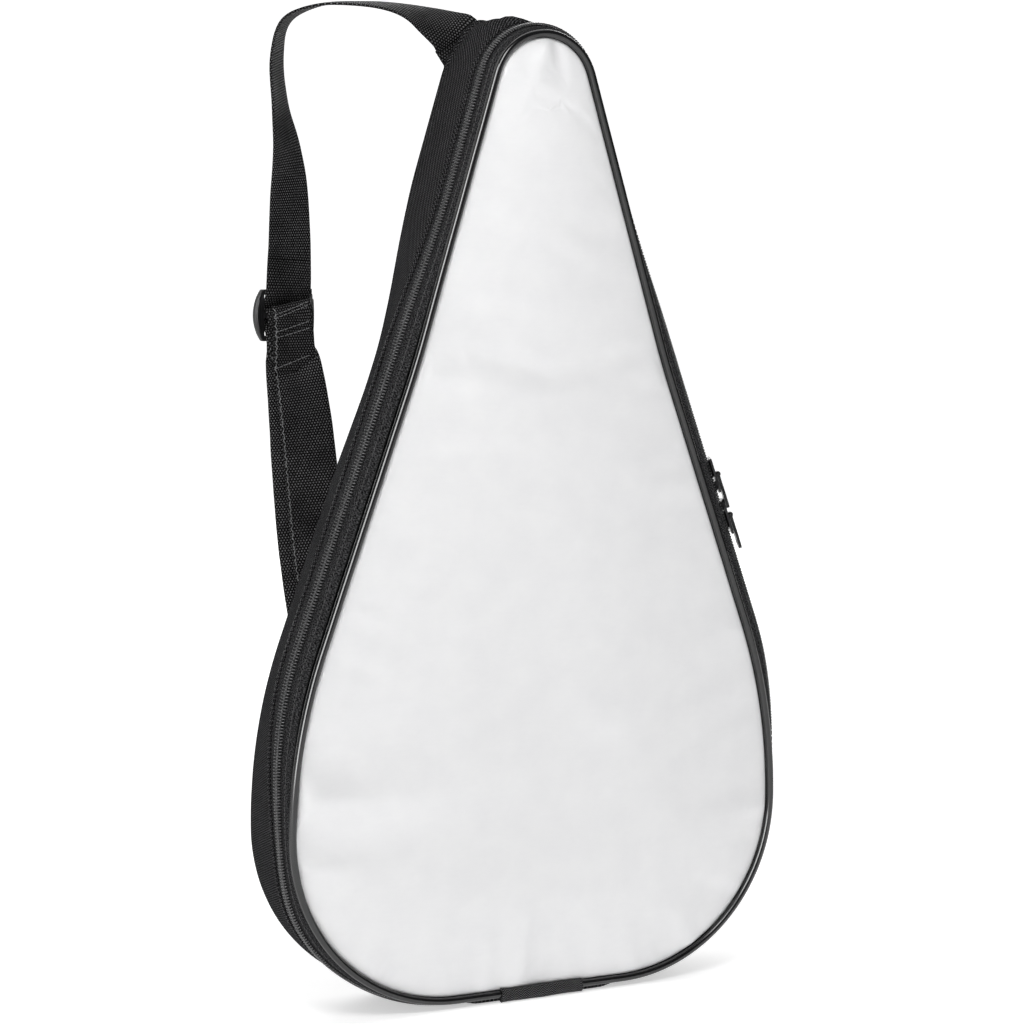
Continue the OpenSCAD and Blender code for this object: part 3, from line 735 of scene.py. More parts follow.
def build_sleeve():
    """The woven sleeve over the piping's two ends: a flattened wrap with turned edges."""
    rings = []
    for i in range(61):
        t = i / 60
        x = SLEEVE_X * (1 - 2 * t)
        turn = 0.25 * math.exp(-min(t, 1 - t) * 50)
        r = PIPING_R + MM * (0.75 + turn + 0.15 * hum(x, 0.008, 5))
        mid = -1.75 * MM + 0.25 * MM * hum(x, 0.014, 15)
        rings.append(place([x, BASE_Z, -math.pi / 2], *round_section(PIPING_Y - 0.2 * MM, mid, r, 24, 1.34)))
    ob = sweep("piping_sleeve_cloth", rings)
    finish_piece(ob, "front_cover", "sleeve_cloth", "piping_sleeve")


def stations(path, step, trim=0.0, last=True):
    """Even steps along a path, less trim at its end; last adds the end itself."""
    return np.r_[np.arange(0, path.length - trim, step), [path.length] * last]


def run_rings(path, section, *steps):
    """A ring of points at each station; section(row, s) gives [depth, offset] points."""
    return [place(path.at(s), *section(path.at(s), s).T) for s in stations(path, *steps)]


TAPE_U, TAPE_SINK = np.array([0.5, 1.5, 3, 4.4]) * MM, -0.02 * MM


def build_tapes():
    path = clip_path(52 * MM, 4 * MM)

    def rear(row, s):
        z = row[1]
        d, off = on_zip(z, TAPE_U, TAPE_SINK)
        more = np.linspace(d[-1] + 0.8 * MM, REAR_TAPE_D + 1.2 * MM, 4)
        top = np.c_[np.r_[d, more], np.r_[off, face(z, more)]]
        top[4:, 1] += MM * (0.12 * hum(s, 0.02, 2) - np.array([0.05, 0.1, 0.3, 0.9]))
        return sheet_section(top, 0.7 * MM)

    def front(row, s):
        z = row[1]
        d, off = on_zip(z, -TAPE_U[::-1], TAPE_SINK)
        less = np.linspace(0.4 * MM, d[0] - 0.7 * MM, 3)
        top = np.c_[np.r_[less, d], np.r_[face(z, less), off]]
        top[:3, 1] += MM * (0.1 * hum(s, 0.02, 3) - np.array([0.7, 0.15, 0.05]))
        return sheet_section(top, 0.7 * MM)

    for name, body, section in (("rear", "back_shell", rear), ("front", "front_cover", front)):
        ob = warp_mesh(sweep(f"{name}_tape_cloth", run_rings(path, section, 3 * MM, 1.5 * MM)), pull_up)
        finish_piece(ob, body, "zip_tape", f"{name}_zip_tape")


COIL_PITCH = 1.6 * MM
TOOTH = np.array([
    [2.35, 0.2], [2.5, 0.75], [2.2, 1.2], [1.5, 1.36], [0.6, 1.4],
    [-0.2, 1.34], [-0.6, 0.95], [-0.4, 0.5], [0.4, 0.3],
]) * MM


def build_coils():
    """Each coil's turns, one by one: out along the tape, over the top and down between the other's."""
    path = clip_path(53 * MM, 6 * MM)
    count = int(path.length / COIL_PITCH)
    for side, name, body in ((-1, "front", "front_cover"), (1, "rear", "back_shell")):
        teeth = []
        for k in range(count):
            s = (k + 0.5 + side * 0.25) * COIL_PITCH
            a, b = path.at(s - 0.22 * MM), path.at(s + 0.22 * MM)
            u, h = side * TOOTH[:, 0], TOOTH[:, 1]
            p = place(a, *on_zip(a[1], u, h))
            q = place(b, *on_zip(b[1], u, h))
            lean = np.linspace(0, 1, len(TOOTH))[:, None]
            teeth.append(p * (1 - lean) + q * lean)
        ob = tubes(f"{name}_coil_turns", teeth, 0.38 * MM, 6)
        finish_piece(ob, body, "zip_coil", f"{name}_zip_coil")


def stitch_row(name, path, at, pitch, length, body):
    """A line of sewn stitches: at(row) gives depth and offset on the cloth's face."""
    rods = []
    for k in range(int(path.length / pitch)):
        s = (k + 0.5) * pitch
        rod = []
        for t, lift in ((-0.5, -0.25), (-0.32, 0.12), (0.0, 0.2), (0.32, 0.12), (0.5, -0.25)):
            row = path.at(s + t * length)
            d, off = at(row)
            rod.append(place(row, d, off + lift * MM))
        rods.append(rod)
    ob = warp_mesh(tubes(name, rods, 0.24 * MM, THREAD_SIDES), pull_up)
    return finish_piece(ob, body, "black_thread", slot="zip_tape")


HUMP, HUMP_A, HUMP_WIDE = 6.5 * MM, math.radians(103), math.radians(24)


def pull_up(points):
    """The strap drags the back of the top seam up and out into a low hump."""
    p = np.array(points, float)
    rel = p[..., [0, 2]] - [0, TOP_Z - TOP_R]
    r = np.linalg.norm(rel, axis=-1) + 1e-9
    a = np.arctan2(rel[..., 1], rel[..., 0])
    deep = p[..., 1] - FRONT_Y
    w = np.exp(-(((a - HUMP_A) / HUMP_WIDE) ** 2)) * step01((deep - 10 * MM) / (20 * MM))
    w = w * step01((r - 8 * MM) / (20 * MM)) * step01((58 * MM - r) / (18 * MM))
    crease = 1 - 0.28 * np.exp(-(((deep - 34 * MM) / (3.5 * MM)) ** 2))
    p[..., [0, 2]] += (HUMP * w * crease / r)[..., None] * rel
    return p


def warp_mesh(ob, move):
    co = np.array([v.co for v in ob.data.vertices])
    ob.data.vertices.foreach_set("co", move(co).ravel())
    ob.data.update()
    return ob


def build_gusset():
    path = ring_path()

    def section(row, s):
        x, z, a = row
        deep = float(depth(z))
        t = np.r_[0, 0.02, 0.06, 0.085, 0.11, np.linspace(0.18, 0.93, 10), 0.965, 1.0]
        d = REAR_TAPE_D + t * (deep - REAR_TAPE_D)
        off = face(z, REAR_TAPE_D + t * (CASE_D - REAR_TAPE_D)) + 0.12 * MM
        fold = np.zeros(len(t))
        fold[:5] = [0.25, 0.6, 0.45, 0.0, 0.2]
        fold[-2:] = [0.25, -0.35]
        slack = np.sin(math.pi * t) ** 0.8
        wave = 0.55 * hum(s, 0.05, 6) + 0.3 * hum(s, 0.017, 9)
        knee = math.exp(-(((z / MM) - 342) / 16) ** 2) * (1 if abs(x) > 0.02 else 0)
        off = off + MM * (fold + slack * wave - 0.9 * knee * np.sin(math.pi * t) ** 2)
        if z < BASE_Z + 1 * MM:
            off = np.minimum(off, 0.1 * MM)
        return sheet_section(np.c_[d, off], 1.0 * MM)

    rings = run_rings(path, section, 3.5 * MM, 2 * MM, False)
    ob = warp_mesh(sweep("gusset_cloth", rings, closed=True), pull_up)
    finish_piece(ob, "back_shell", "black_cloth", "gusset_band")


def build_bindings():
    path = ring_path(-3 * MM)

    def front(row, s):
        wob = 0.15 * MM * hum(s, 0.02, 21)
        c, sn = circle(16)
        shape = np.c_[np.sign(c) * np.abs(c) ** 0.6, np.sign(sn) * np.abs(sn) ** 0.6]
        return shape * [1.45 * MM, 1.45 * MM] + [2.9 * MM, -2.9 * MM + wob]

    def back(row, s):
        return front(row, s) + [float(depth(row[1])) - 6.0 * MM, -0.1 * MM]

    for name, body, section in (("front", "front_cover", front), ("back", "back_shell", back)):
        rings = run_rings(path, section, 5 * MM, 3 * MM, False)
        ob = warp_mesh(sweep(f"{name}_binding_cloth", rings, closed=True), pull_up)
        finish_piece(ob, body, "binding", f"{name}_seam_binding")


def build_seam_stitches():
    ring = ring_path()

    def by_gusset(row):
        d = REAR_TAPE_D + 2.6 * MM
        return d, float(face(row[1], d)) + 0.1 * MM

    def on_front_tape(row):
        d = 2.2 * MM
        return d, float(face(row[1], d)) - 0.05 * MM

    stitch_row("gusset_stitches", ring, by_gusset, 3.1 * MM, 2.5 * MM, "back_shell")
    zip_path = clip_path(54 * MM)
    stitch_row("front_tape_stitches", zip_path, on_front_tape, 2.9 * MM, 2.3 * MM, "front_cover")


def build_base():
    """The fabric hinge and base panel: a folded double cloth with rounded edges."""
    y0, y1 = FRONT_Y + 0.9 * MM, FRONT_Y + CASE_D - 0.8 * MM
    folded_end = FRONT_Y + 16.4 * MM
    folded = np.linspace(y0 + 0.8 * MM, FRONT_Y + 16 * MM, 14)
    ys = np.r_[y0, folded, np.linspace(FRONT_Y + 18.5 * MM, y1, 12)]
    half, level = HINGE_X + 1.7 * MM, 30 * MM
    xs = np.linspace(-half, half, 61)
    verts = []
    for top in (False, True):
        for y in ys:
            for x in xs:
                edge = min(y - y0, y1 - y, half - abs(x)) / MM
                round_off = 0.9 * math.exp(-edge / 0.8)
                sag = 0.1 * noise.noise(Vector((x * 60, y * 60, 2.0)))
                thick = 3.4 if y < folded_end else 2.1
                lift = (thick - 0.7) * step01((abs(x) - level) / (HINGE_X - level)) ** 1.5
                h = thick - 0.8 * round_off if top else max(round_off * 0.6 + max(0.0, sag), lift)
                verts.append((x, y, h * MM))
    n, m = len(ys), len(xs)
    layer = n * m
    faces = grid_faces(n, m, False, 0, True) + grid_faces(n, m, False, layer)
    left, right = range(0, layer - m, m), range(layer - m - 1, m - 1, -m)
    rim = [*left, *range(layer - m, layer), *right, *range(m - 1, 0, -1)]
    faces += [(a, b, b + layer, a + layer) for a, b in zip(rim, rim[1:] + rim[:1])]
    ob = clean(mesh_object("hinge_cloth", verts, faces, np.array(verts)[:, :2]))
    finish_piece(ob, None, "black_cloth", "hinge_panel")
    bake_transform(ob)


# ---------------------------------------------------------------- zip sliders

def build_sliders():
    for node in ("upper_slider_body", "upper_pull_tab", "lower_slider_body", "lower_pull_tab"):
        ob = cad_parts[node]
        ob.data.materials.clear()
        ob.data.materials.append(MAT["slider_metal"])
        edge = ob.modifiers.new("soft_edges", "BEVEL")
        edge.width, edge.segments, edge.limit_method = 0.22 * MM, 2, "ANGLE"
        edge.harden_normals = False
        for p in ob.data.polygons:
            p.use_smooth = False

# ---------------------------------------------------------------- shoulder strap

STRAP_W, STRAP_T = 30 * MM, 1.5 * MM
ROOT_A = math.radians(126)
ROOT_DIR = np.array([math.cos(ROOT_A), 0, math.sin(ROOT_A)])
ROOT_W = np.array([math.sin(ROOT_A), 0, -math.cos(ROOT_A)])
ROOT_P = np.array([0, FRONT_Y + GRIP_D - 1.5 * MM, TOP_Z - TOP_R])
glide_low, glide_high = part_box("strap_slider")
GLIDE = (np.array(glide_low) + np.array(glide_high)) / 2
GLIDE_TURN = math.radians(14)
UP, BACK = np.array([0, 0, 1.0]), np.array([0, 1.0, 0])
GLIDE_W = np.array([math.cos(GLIDE_TURN), math.sin(GLIDE_TURN), 0])
GLIDE_N = np.array([math.sin(GLIDE_TURN), -math.cos(GLIDE_TURN), 0])
GLIDE_H, GLIDE_R, SLOT_W, BAR_H, BAR_T = 28 * MM, 22 * MM, 31.2 * MM, 3 * MM, 2.4 * MM
TAB_A = math.radians(40)
TAB_DIR = np.array([-math.sin(TAB_A), 0, math.cos(TAB_A)])
TAB_W = np.array([math.cos(TAB_A), 0, math.sin(TAB_A)])
TAB_ROOT = np.array([0, FRONT_Y + CASE_D, 30 * MM])
TAB_LEN, RING_R, RING_PITCH, FOLD_R = 24 * MM, 1.7 * MM, 17 * MM, 6.2 * MM
RING_LEAN = math.radians(35)
STITCH_STEP = 3
RING_LOW = TAB_ROOT + TAB_LEN * TAB_DIR + np.array([0, RING_R + 0.08 * MM + STRAP_T, 0])
RING_DIR = math.cos(RING_LEAN) * TAB_DIR + math.sin(RING_LEAN) * np.array([0, 1, 0])
RING_N = np.cross(RING_DIR, TAB_W)
RING_HIGH = RING_LOW + RING_PITCH * RING_DIR


def turned(a, lean):
    a, lean = math.radians(a), math.radians(lean)
    return np.array([math.cos(a) * math.cos(lean), math.sin(a) * math.cos(lean), math.sin(lean)])


def smooth_run(points, widths, n):
    """A Catmull-Rom run through strap frames, rows [point, width direction]."""
    keys = np.hstack([np.array(points), np.array(widths)])
    rows = []
    for i in range(len(keys) - 1):
        a, b = keys[max(i - 1, 0)], keys[i]
        c, d = keys[i + 1], keys[min(i + 2, len(keys) - 1)]
        for j in range(n):
            t = j / n
            bend, twist = 2 * a - 5 * b + 4 * c - d, 3 * b - a - 3 * c + d
            rows.append(b + 0.5 * t * ((c - a) + t * (bend + t * twist)))
    rows.append(keys[-1])
    return np.array(rows)


def at_glide(h, n):
    return np.hstack([GLIDE + [0, 0, h * MM] + n * MM * GLIDE_N, GLIDE_W])


def fold_frame(deg):
    a = math.radians(deg)
    return np.hstack([RING_HIGH + FOLD_R * (math.cos(a) * RING_N + math.sin(a) * RING_DIR), TAB_W])


UP_RUN = np.array([
    [-34, 47, 519], [-46, 56, 524], [-62, 66, 526], [-83, 75, 525], [-97, 86, 517], [-100, 92, 498],
    [-97, 95, 472], [-92, 98, 449], [-90, 99, 425], [-89.5, 100.5, 388],
]) * MM
UP_WIDTHS = [(48, 22), (60, 12), (62, 7), (61, 4), (60, 0), (55, 0), (51, 0), (38, 0), (25, 0), (16, 0)]
LOW_RUN = np.array([
    [-89, 101.5, 332], [-86, 101.5, 300], [-85, 99, 270], [-83, 93, 225], [-78, 84, 180], [-64, 67, 130],
]) * MM
LOW_WIDTHS = [turned(6, 0), turned(-3, 3), turned(-8, 6), turned(-10, 14), turned(-8, 24), turned(-4, 34)]
LOW_PARTING = np.array([7, 10, 12, 12.4, 12.4, 12.4]) * MM
LAYER, WRAP_R = STRAP_T / MM, math.hypot(BAR_H, BAR_T) / 2 / MM + 0.15 + STRAP_T / MM / 2
FRONT_N = BAR_T / MM / 2 + LAYER / 2 + 0.3
BEHIND_N = -(WRAP_R + LAYER + 0.3)


# heights where the webbing is cut into pieces; STILL_ABOVE, STILL_BELOW and ROOT_GIVE, for where it stays
# still as the slider moves, are not used
TOP_CUT, GLIDE_CUTS = 500 * MM, (388 * MM, 336 * MM)
STILL_ABOVE, STILL_BELOW, ROOT_GIVE = 440 * MM, 285 * MM, 6


def resample(rows, step=2.2 * MM):
    """Even steps along a run, with the width directions squared to the run."""
    s = np.r_[0, np.cumsum(np.linalg.norm(np.diff(rows[:, :3], axis=0), axis=1))]
    at = np.linspace(0, s[-1], max(2, round(s[-1] / step) + 1))
    rows = np.array([np.interp(at, s, rows[:, k]) for k in range(6)]).T
    ahead = np.gradient(rows[:, :3], axis=0)
    ahead /= np.linalg.norm(ahead, axis=1, keepdims=True)
    w = rows[:, 3:] - (rows[:, 3:] * ahead).sum(1, keepdims=True) * ahead
    rows[:, 3:] = w / np.linalg.norm(w, axis=1, keepdims=True)
    return rows, ahead, at


def soften(rows, times=3):
    for _ in range(times):
        rows[1:-1] = (rows[:-2] + 2 * rows[1:-1] + rows[2:]) / 4
    return rows


def ribbon(name, rows, ahead, at, cup=0.0):
    """Webbing through strap frames, with rounded edges, a slight cup and a tight even weave."""
    t = np.linspace(-1, 1, 9)
    half = STRAP_W / 2
    top = np.c_[t * (half - 0.5 * MM), STRAP_T / 2 - 0.12 * MM * t ** 6]
    edge = np.array([[half - 0.12 * MM, STRAP_T * 0.28], [half, 0], [half - 0.12 * MM, -STRAP_T * 0.28]])
    loop = np.vstack([top, edge, (top * [1, -1])[::-1], (edge * [-1, 1])[::-1]])
    rings = []
    for row, f, s in zip(rows, ahead, at):
        w = row[3:]
        out = np.cross(w, f)
        arch = cup * MM * (1 - (loop[:, 0] / half) ** 2) + 0.12 * MM * hum(s, 0.02, 31)
        edge_wander = 0.15 * MM * hum(s, 0.015, 33)
        rings.append(row[:3] + (loop[:, :1] + edge_wander) * w + (loop[:, 1:] + arch[:, None]) * out)
    return sweep(name, rings)


def run_piece(name, run, lo, hi, cup=0.0):
    """The part of a resampled run between two of its stations, with its weave running on across the cut."""
    ob = ribbon(name, *(rows[lo:hi + 1] for rows in run), cup)
    for item in ob.data.uv_layers[0].data:
        item.uv[0] += run[2][lo]
    return finish_piece(ob, None, "webbing")


def strap_top_rows():
    start = ROOT_P + (TOP_R + 0.8 * MM) * ROOT_DIR
    bend = ROOT_P + (TOP_R + 8 * MM) * ROOT_DIR + np.array([-1, 2, 0]) * MM
    points = np.vstack([start, start + 2.4 * MM * ROOT_DIR, bend, UP_RUN])
    widths = [ROOT_W, ROOT_W, turned(18, 33)] + [turned(*w) for w in UP_WIDTHS]
    upper = smooth_run(points, widths, 8)
    over = np.array([at_glide(h, n) for h, n in (
        (20, FRONT_N), (14, FRONT_N), (9, FRONT_N - 0.5), (6, -1.6), (3, BEHIND_N), (-3, BEHIND_N),
        (-6, -1.6), (-9, FRONT_N - 0.5), (-14, FRONT_N), (-19, FRONT_N),
    )])
    return upper, over


def low_rows(front):
    offset = LOW_PARTING[:, None] * GLIDE_N if front else 0
    points = LOW_RUN + offset
    start = at_glide(-20, FRONT_N + LAYER + 1.6) if front else at_glide(-19, FRONT_N)
    end = fold_frame(0 if front else -180)
    points = np.vstack([start[:3], points, end[:3]])
    return smooth_run(points, [GLIDE_W, *LOW_WIDTHS, TAB_W], 8)


def cut_near(frames, z, start=0):
    """The first station past start where the run crosses height z."""
    side = np.sign(frames[start:, 2] - z)
    return start + int(np.nonzero(np.diff(side))[0][0])


def build_strap():
    upper, over = strap_top_rows()
    back, front = low_rows(False), low_rows(True)
    fold = np.array([fold_frame(a) for a in range(-180, -361, -15)])
    over_layer = FRONT_N + LAYER
    tail = [at_glide(h, n) for h, n in (
        (-20, over_layer + 1.6), (-14, over_layer + 1.2), (-9, over_layer + 0.7), (-4, WRAP_R + 0.9),
    )]
    wrap = [at_glide(WRAP_R * math.sin(a), WRAP_R * math.cos(a)) for a in np.radians(range(0, 181, 20))]
    tail += [*wrap, at_glide(-2.6, -2.0)]
    whole = np.vstack([upper[:-1], over, back[1:-1], fold, front[::-1][1:-1], np.array(tail)])
    frames = soften(whole.copy(), 1)
    frames[:, :3] = pull_up(frames[:, :3])
    frames, ahead, at = resample(frames)
    lap = int(np.argmin(np.linalg.norm(frames[:, :3] - RING_HIGH, axis=1)))
    top = cut_near(frames, TOP_CUT, int(np.argmax(frames[:, 2])))
    glide_in = cut_near(frames, GLIDE_CUTS[0], top)
    glide_out = cut_near(frames, GLIDE_CUTS[1], glide_in)
    tail_in = cut_near(frames, GLIDE_CUTS[1], lap)
    run = (frames, ahead, at)
    one = run_piece("strap_over_top", run, 0, top, 0.25)
    two = run_piece("strap_upper", run, top, glide_in, 0.15)
    three = run_piece("strap_in_glide", run, glide_in, glide_out)
    four = run_piece("strap_loop", run, glide_out, tail_in)
    five = run_piece("strap_tail", run, tail_in, len(frames) - 1)
    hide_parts("shoulder_strap")
    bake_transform(one)
    sewn = build_edge_stitches(run, lap, tail_in)
    low = glide_out, STILL_BELOW
    for ob, (moving, still) in ((two, (glide_in, STILL_ABOVE)), (four, low), (sewn, low)):
        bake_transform(ob)
    for ob in (three, five):
        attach(ob, "strap_adjuster")


def sewn_line(name, pairs, body, radius=0.26 * MM):
    """Stitches from [start, end, out direction] in metres, each a low hump."""
    rods = []
    for p, q, out in pairs:
        p, q, out = np.array(p), np.array(q), np.array(out)
        heights = ((0, -0.25), (0.2, 0.12), (0.5, 0.2), (0.8, 0.12), (1, -0.25))
        rods.append([p + (q - p) * t + out * h * MM for t, h in heights])
    return finish_piece(tubes(name, rods, radius, THREAD_SIDES), body, "pale_thread", slot="webbing")


TAIL_LOW, TAIL_RUN = -31, 38
TAIL_N = FRONT_N + LAYER + 1.0


def tail_lift(t):
    """How far the lapped end stands off the layer below, from its low end to its cut end."""
    return 2.3 + 1.2 * math.sin(math.pi * t) - 0.9 * t ** 3


def build_tail_patch():
    """The strap's cut end, lapped over the slider and sewn down through the layer below."""
    u = np.linspace(-1, 1, 9)
    top = np.c_[u * (STRAP_W / 2 - 0.4 * MM), STRAP_T / 2 - 0.15 * MM * u ** 6]
    rings = []
    for t in np.arange(23) / 22:
        loop = np.vstack([top, [[STRAP_W / 2, 0]], (top * [1, -1])[::-1], [[-STRAP_W / 2, 0]]])
        narrow = 0.74 + 0.18 * step01((0.62 - t) / 0.4)
        loop[:, 0] = np.where(loop[:, 0] > 0, loop[:, 0] * narrow, loop[:, 0])
        slant = 5.0 * MM * step01((t - 0.72) / 0.28)
        up = slant * (loop[:, 0] / STRAP_W)[:, None] * UP
        arch = 0.5 * MM * (1 - (2 * loop[:, :1] / STRAP_W) ** 2)
        p = GLIDE + (TAIL_LOW + TAIL_RUN * t) * MM * UP + (TAIL_N + tail_lift(t)) * MM * GLIDE_N
        rings.append(p + loop[:, :1] * GLIDE_W + (loop[:, 1:] + arch) * GLIDE_N + up)
    finish_piece(sweep("strap_tail_flap", rings), "strap_adjuster", "webbing")


def build_tail_stitches():
    """Rows across the lapped end, and a whipped line down its left edge."""
    base = GLIDE + (TAIL_N + LAYER / 2 + 0.15) * MM * GLIDE_N

    def on_tail(v, h, proud):
        lift = tail_lift((min(h, TAIL_LOW + TAIL_RUN) - TAIL_LOW) / TAIL_RUN)
        return base + v * MM * GLIDE_W + h * MM * UP + (lift + proud) * MM * GLIDE_N

    def arch(v):
        return 0.5 * (1 - (v / (STRAP_W / MM / 2)) ** 2)

    pairs = []
    for h, slope in ((4.4, 0.3), (2.6, 0.3), (-5.5, 0.25), (-9, 0.22), (-24.5, 0.3)):
        for u in np.arange(8) * 2.9 - 13.8:
            pairs.append((*(on_tail(v, h + slope * v, arch(v)) for v in (u, u + 2.2)), GLIDE_N))
    for k in range(15):
        h = 3.5 - k * 2.3
        p = on_tail(-14.3 + 1.1 * (k % 2), h, 0.1)
        pairs.append((p, on_tail(-13.9 + 1.1 * ((k + 1) % 2), h - 1.9, 0.1), GLIDE_N))
    sewn_line("strap_tail_stitches", pairs, "strap_adjuster")


def build_edge_stitches(run, lap, tail_in):
    """A whipped edge down the front layer's left side."""
    frames, ahead, _ = run
    pairs = []
    for i in range(lap + 14, tail_in - 1):
        w = frames[i, 3:]
        left = -w if w[0] > 0 else w
        out = np.cross(w, ahead[i])
        out = out if out[1] < 0 else -out
        p, q = (
            frames[i, :3] + left * (STRAP_W / 2 - inset * MM) + out * (STRAP_T / 2 + 0.2 * MM)
            for inset in (0.7 + 0.9 * (i % 2), 1.6 - 0.9 * (i % 2))
        )
        pairs.append((p, q + (frames[i + 1, :3] - frames[i, :3]) * 0.85, out))
    return sewn_line("strap_edge_stitches", pairs, None, radius=0.24 * MM)


def build_glide():
    """The strap slider: a thick rounded frame with bowed ridged sides and three bars."""
    def bar(pts, thick):
        n = len(pts)
        verts = [(x, y, z) for y in (-thick / 2, thick / 2) for x, z in pts]
        faces = [(i, n + i, n + (i + 1) % n, (i + 1) % n) for i in range(n)]
        faces = [range(n), range(n, 2 * n)[::-1], *faces]
        return mesh_object("glide_part", verts, faces, smooth=False)

    parts = []
    half_h, x_in = GLIDE_H / 2, SLOT_W / 2
    zs = np.linspace(-half_h, half_h, 21)
    bow = np.sqrt(GLIDE_R ** 2 - zs ** 2) - x_in
    # each side is three layers: where each starts and ends across the side, and its thickness
    for side, wide in ((1, 0.3), (-1, 1.0)):
        for k, (a, b, thick) in enumerate(((0.0, 1.0, 2.7), (0.34, 0.94, 3.5), (0.62, 0.86, 4.1))):
            keep = np.abs(zs) < half_h - k * 2.2 * MM + 1e-6
            lo, hi = x_in + bow * wide * a, x_in + bow * wide * b
            pts = np.vstack([np.c_[hi[keep], zs[keep]], np.c_[lo[keep], zs[keep]][::-1]])
            parts.append(bar(pts * [side, 1], thick * MM))
    slot_h = (GLIDE_H - 3 * BAR_H) / 2
    w = x_in + 1.2 * MM
    for z in np.array([-1, 0, 1]) * (BAR_H + slot_h):
        lo, hi = z - BAR_H / 2, z + BAR_H / 2
        parts.append(bar(np.array([(-w, lo), (w, lo), (w, hi), (-w, hi)]), BAR_T))
    whole = bmesh.new()
    for ob in parts:
        piece = bmesh.new()
        piece.from_mesh(ob.data)
        bmesh.ops.recalc_face_normals(piece, faces=piece.faces)
        bmesh.ops.bevel(piece, geom=piece.edges[:], offset=0.55 * MM, segments=3, affect="EDGES", profile=0.5)
        piece.to_mesh(ob.data)
        piece.free()
        whole.from_mesh(ob.data)
        bpy.data.objects.remove(ob)
    ob = mesh_object("strap_glide", [], [])
    whole.to_mesh(ob.data)
    whole.free()
    turn = np.array([GLIDE_W, -GLIDE_N, UP]).T
    for v in ob.data.vertices:
        v.co = Vector(GLIDE + turn @ np.array(v.co))
    for p in ob.data.polygons:
        p.use_smooth = True
    clean(ob)
    return finish_piece(ob, "strap_adjuster", "strap_plastic", "strap_slider")


def build_root():
    """Where the strap is sewn into the top seam: the webbing's end and the lump of cloth folded over it."""
    frames = np.array([np.hstack([ROOT_P + r * MM * ROOT_DIR, ROOT_W]) for r in np.linspace(18, 34.2, 10)])
    frames[:, :3] = pull_up(frames[:, :3])
    ob = ribbon("strap_root_webbing", *(part[4:] for part in resample(frames)))
    finish_piece(ob, "back_shell", "webbing", "strap_root")
    rings = []
    for i in range(25):
        u = (i / 24 * 2 - 1) * 21
        swell_up = max(0.0, 1 - (abs(u) / 21) ** 2.6)
        a = ROOT_A - u * MM / TOP_R
        out = np.array([math.cos(a), 0, math.sin(a)])
        mid = ROOT_P + out * (TOP_R + (0.2 + 0.35 * hum(u * MM, 0.006, 41)) * MM)
        c, sn = circle(12)
        r = (0.35 + 1.5 * swell_up + 0.25 * hum(u * MM, 0.004, 43)) * MM
        rings.append(mid + np.outer(c * r, out) + np.outer(sn * r * 1.9, BACK) - 2.2 * MM * BACK)
    lump = warp_mesh(sweep("strap_seam_fold", rings), pull_up)
    finish_piece(lump, "back_shell", "black_cloth")


def build_ring():
    """A bent wire ring with rounded corners."""
    half, r = STRAP_W / 2 + 3 * MM, 3 * MM
    pts = []
    corners = ((half, RING_PITCH), (-half, RING_PITCH), (-half, 0), (half, 0))
    for k, (x, y) in enumerate(corners):
        cx, cy = x - math.copysign(r, x), y - (r if y > 0 else -r)
        for t in np.linspace(0, 1, 6):
            a = math.pi / 2 * (k + t)
            pts.append((cx + r * math.cos(a), cy + r * math.sin(a)))
    pts = np.array(pts)
    rings = []
    n = len(pts)
    for i in range(n):
        q, p = pts[(i + 1) % n], pts[i - 1]
        t = (q - p) / np.linalg.norm(q - p)
        side = t[1] * TAB_W - t[0] * RING_DIR
        mid = RING_LOW + pts[i][0] * TAB_W + pts[i][1] * RING_DIR
        c, sn = circle(14)
        rings.append(mid + np.outer(c, side) * RING_R + np.outer(sn, RING_N) * RING_R)
    ob = sweep("strap_ring_wire", rings, closed=True)
    finish_piece(ob, "ring", "slider_metal", "strap_ring", slot="ring_metal")


def build_lower_tab():
    """Webbing folded round the ring and box-stitched to the back panel."""
    lug = RING_R + 0.08 * MM + STRAP_T / 2
    centre = TAB_ROOT + TAB_LEN * TAB_DIR + BACK * (RING_R + 0.08 * MM + STRAP_T)
    rows = [TAB_ROOT + y * MM * TAB_DIR + BACK * STRAP_T / 2 for y in np.linspace(-16, 20, 14)]
    for a in np.radians(range(-90, 181, 15)):
        rows.append(centre + lug * (math.cos(a) * TAB_DIR + math.sin(a) * BACK))
    frames = [np.hstack([p, TAB_W]) for p in rows]
    for y, h in ((-2.0, 4.9), (-6.5, 3.4), (-12, 2.5), (-20, 2.3), (-36, 2.3)):
        frames.append(np.hstack([TAB_ROOT + (TAB_LEN + y * MM) * TAB_DIR + BACK * h * MM, TAB_W]))
    frames, ahead, at = resample(soften(np.array(frames), 1), 1.6 * MM)
    ob = ribbon("lower_tab_webbing", frames, ahead, at)
    finish_piece(ob, "back_shell", "webbing", "lower_tab")
    top = STRAP_T * 2 + 0.1 * MM
    pairs = []
    box = [(-12, -14), (12, -14), (12, 4), (-12, 4), (-12, -14), (12, 4), (12, -14), (-12, 4)]
    for (x0, y0), (x1, y1) in zip(box, box[1:]):
        n = max(1, round(math.hypot(x1 - x0, y1 - y0) / STITCH_STEP))
        for k in range(n):
            ends = []
            for t in ((k + 0.1) / n, (k + 0.85) / n):
                x, y = x0 + (x1 - x0) * t, y0 + (y1 - y0) * t
                ends.append(TAB_ROOT + x * MM * TAB_W + y * MM * TAB_DIR + BACK * top)
            pairs.append((*ends, BACK))
    sewn_line("lower_tab_stitches", pairs, "back_shell")


# ---------------------------------------------------------------- the set

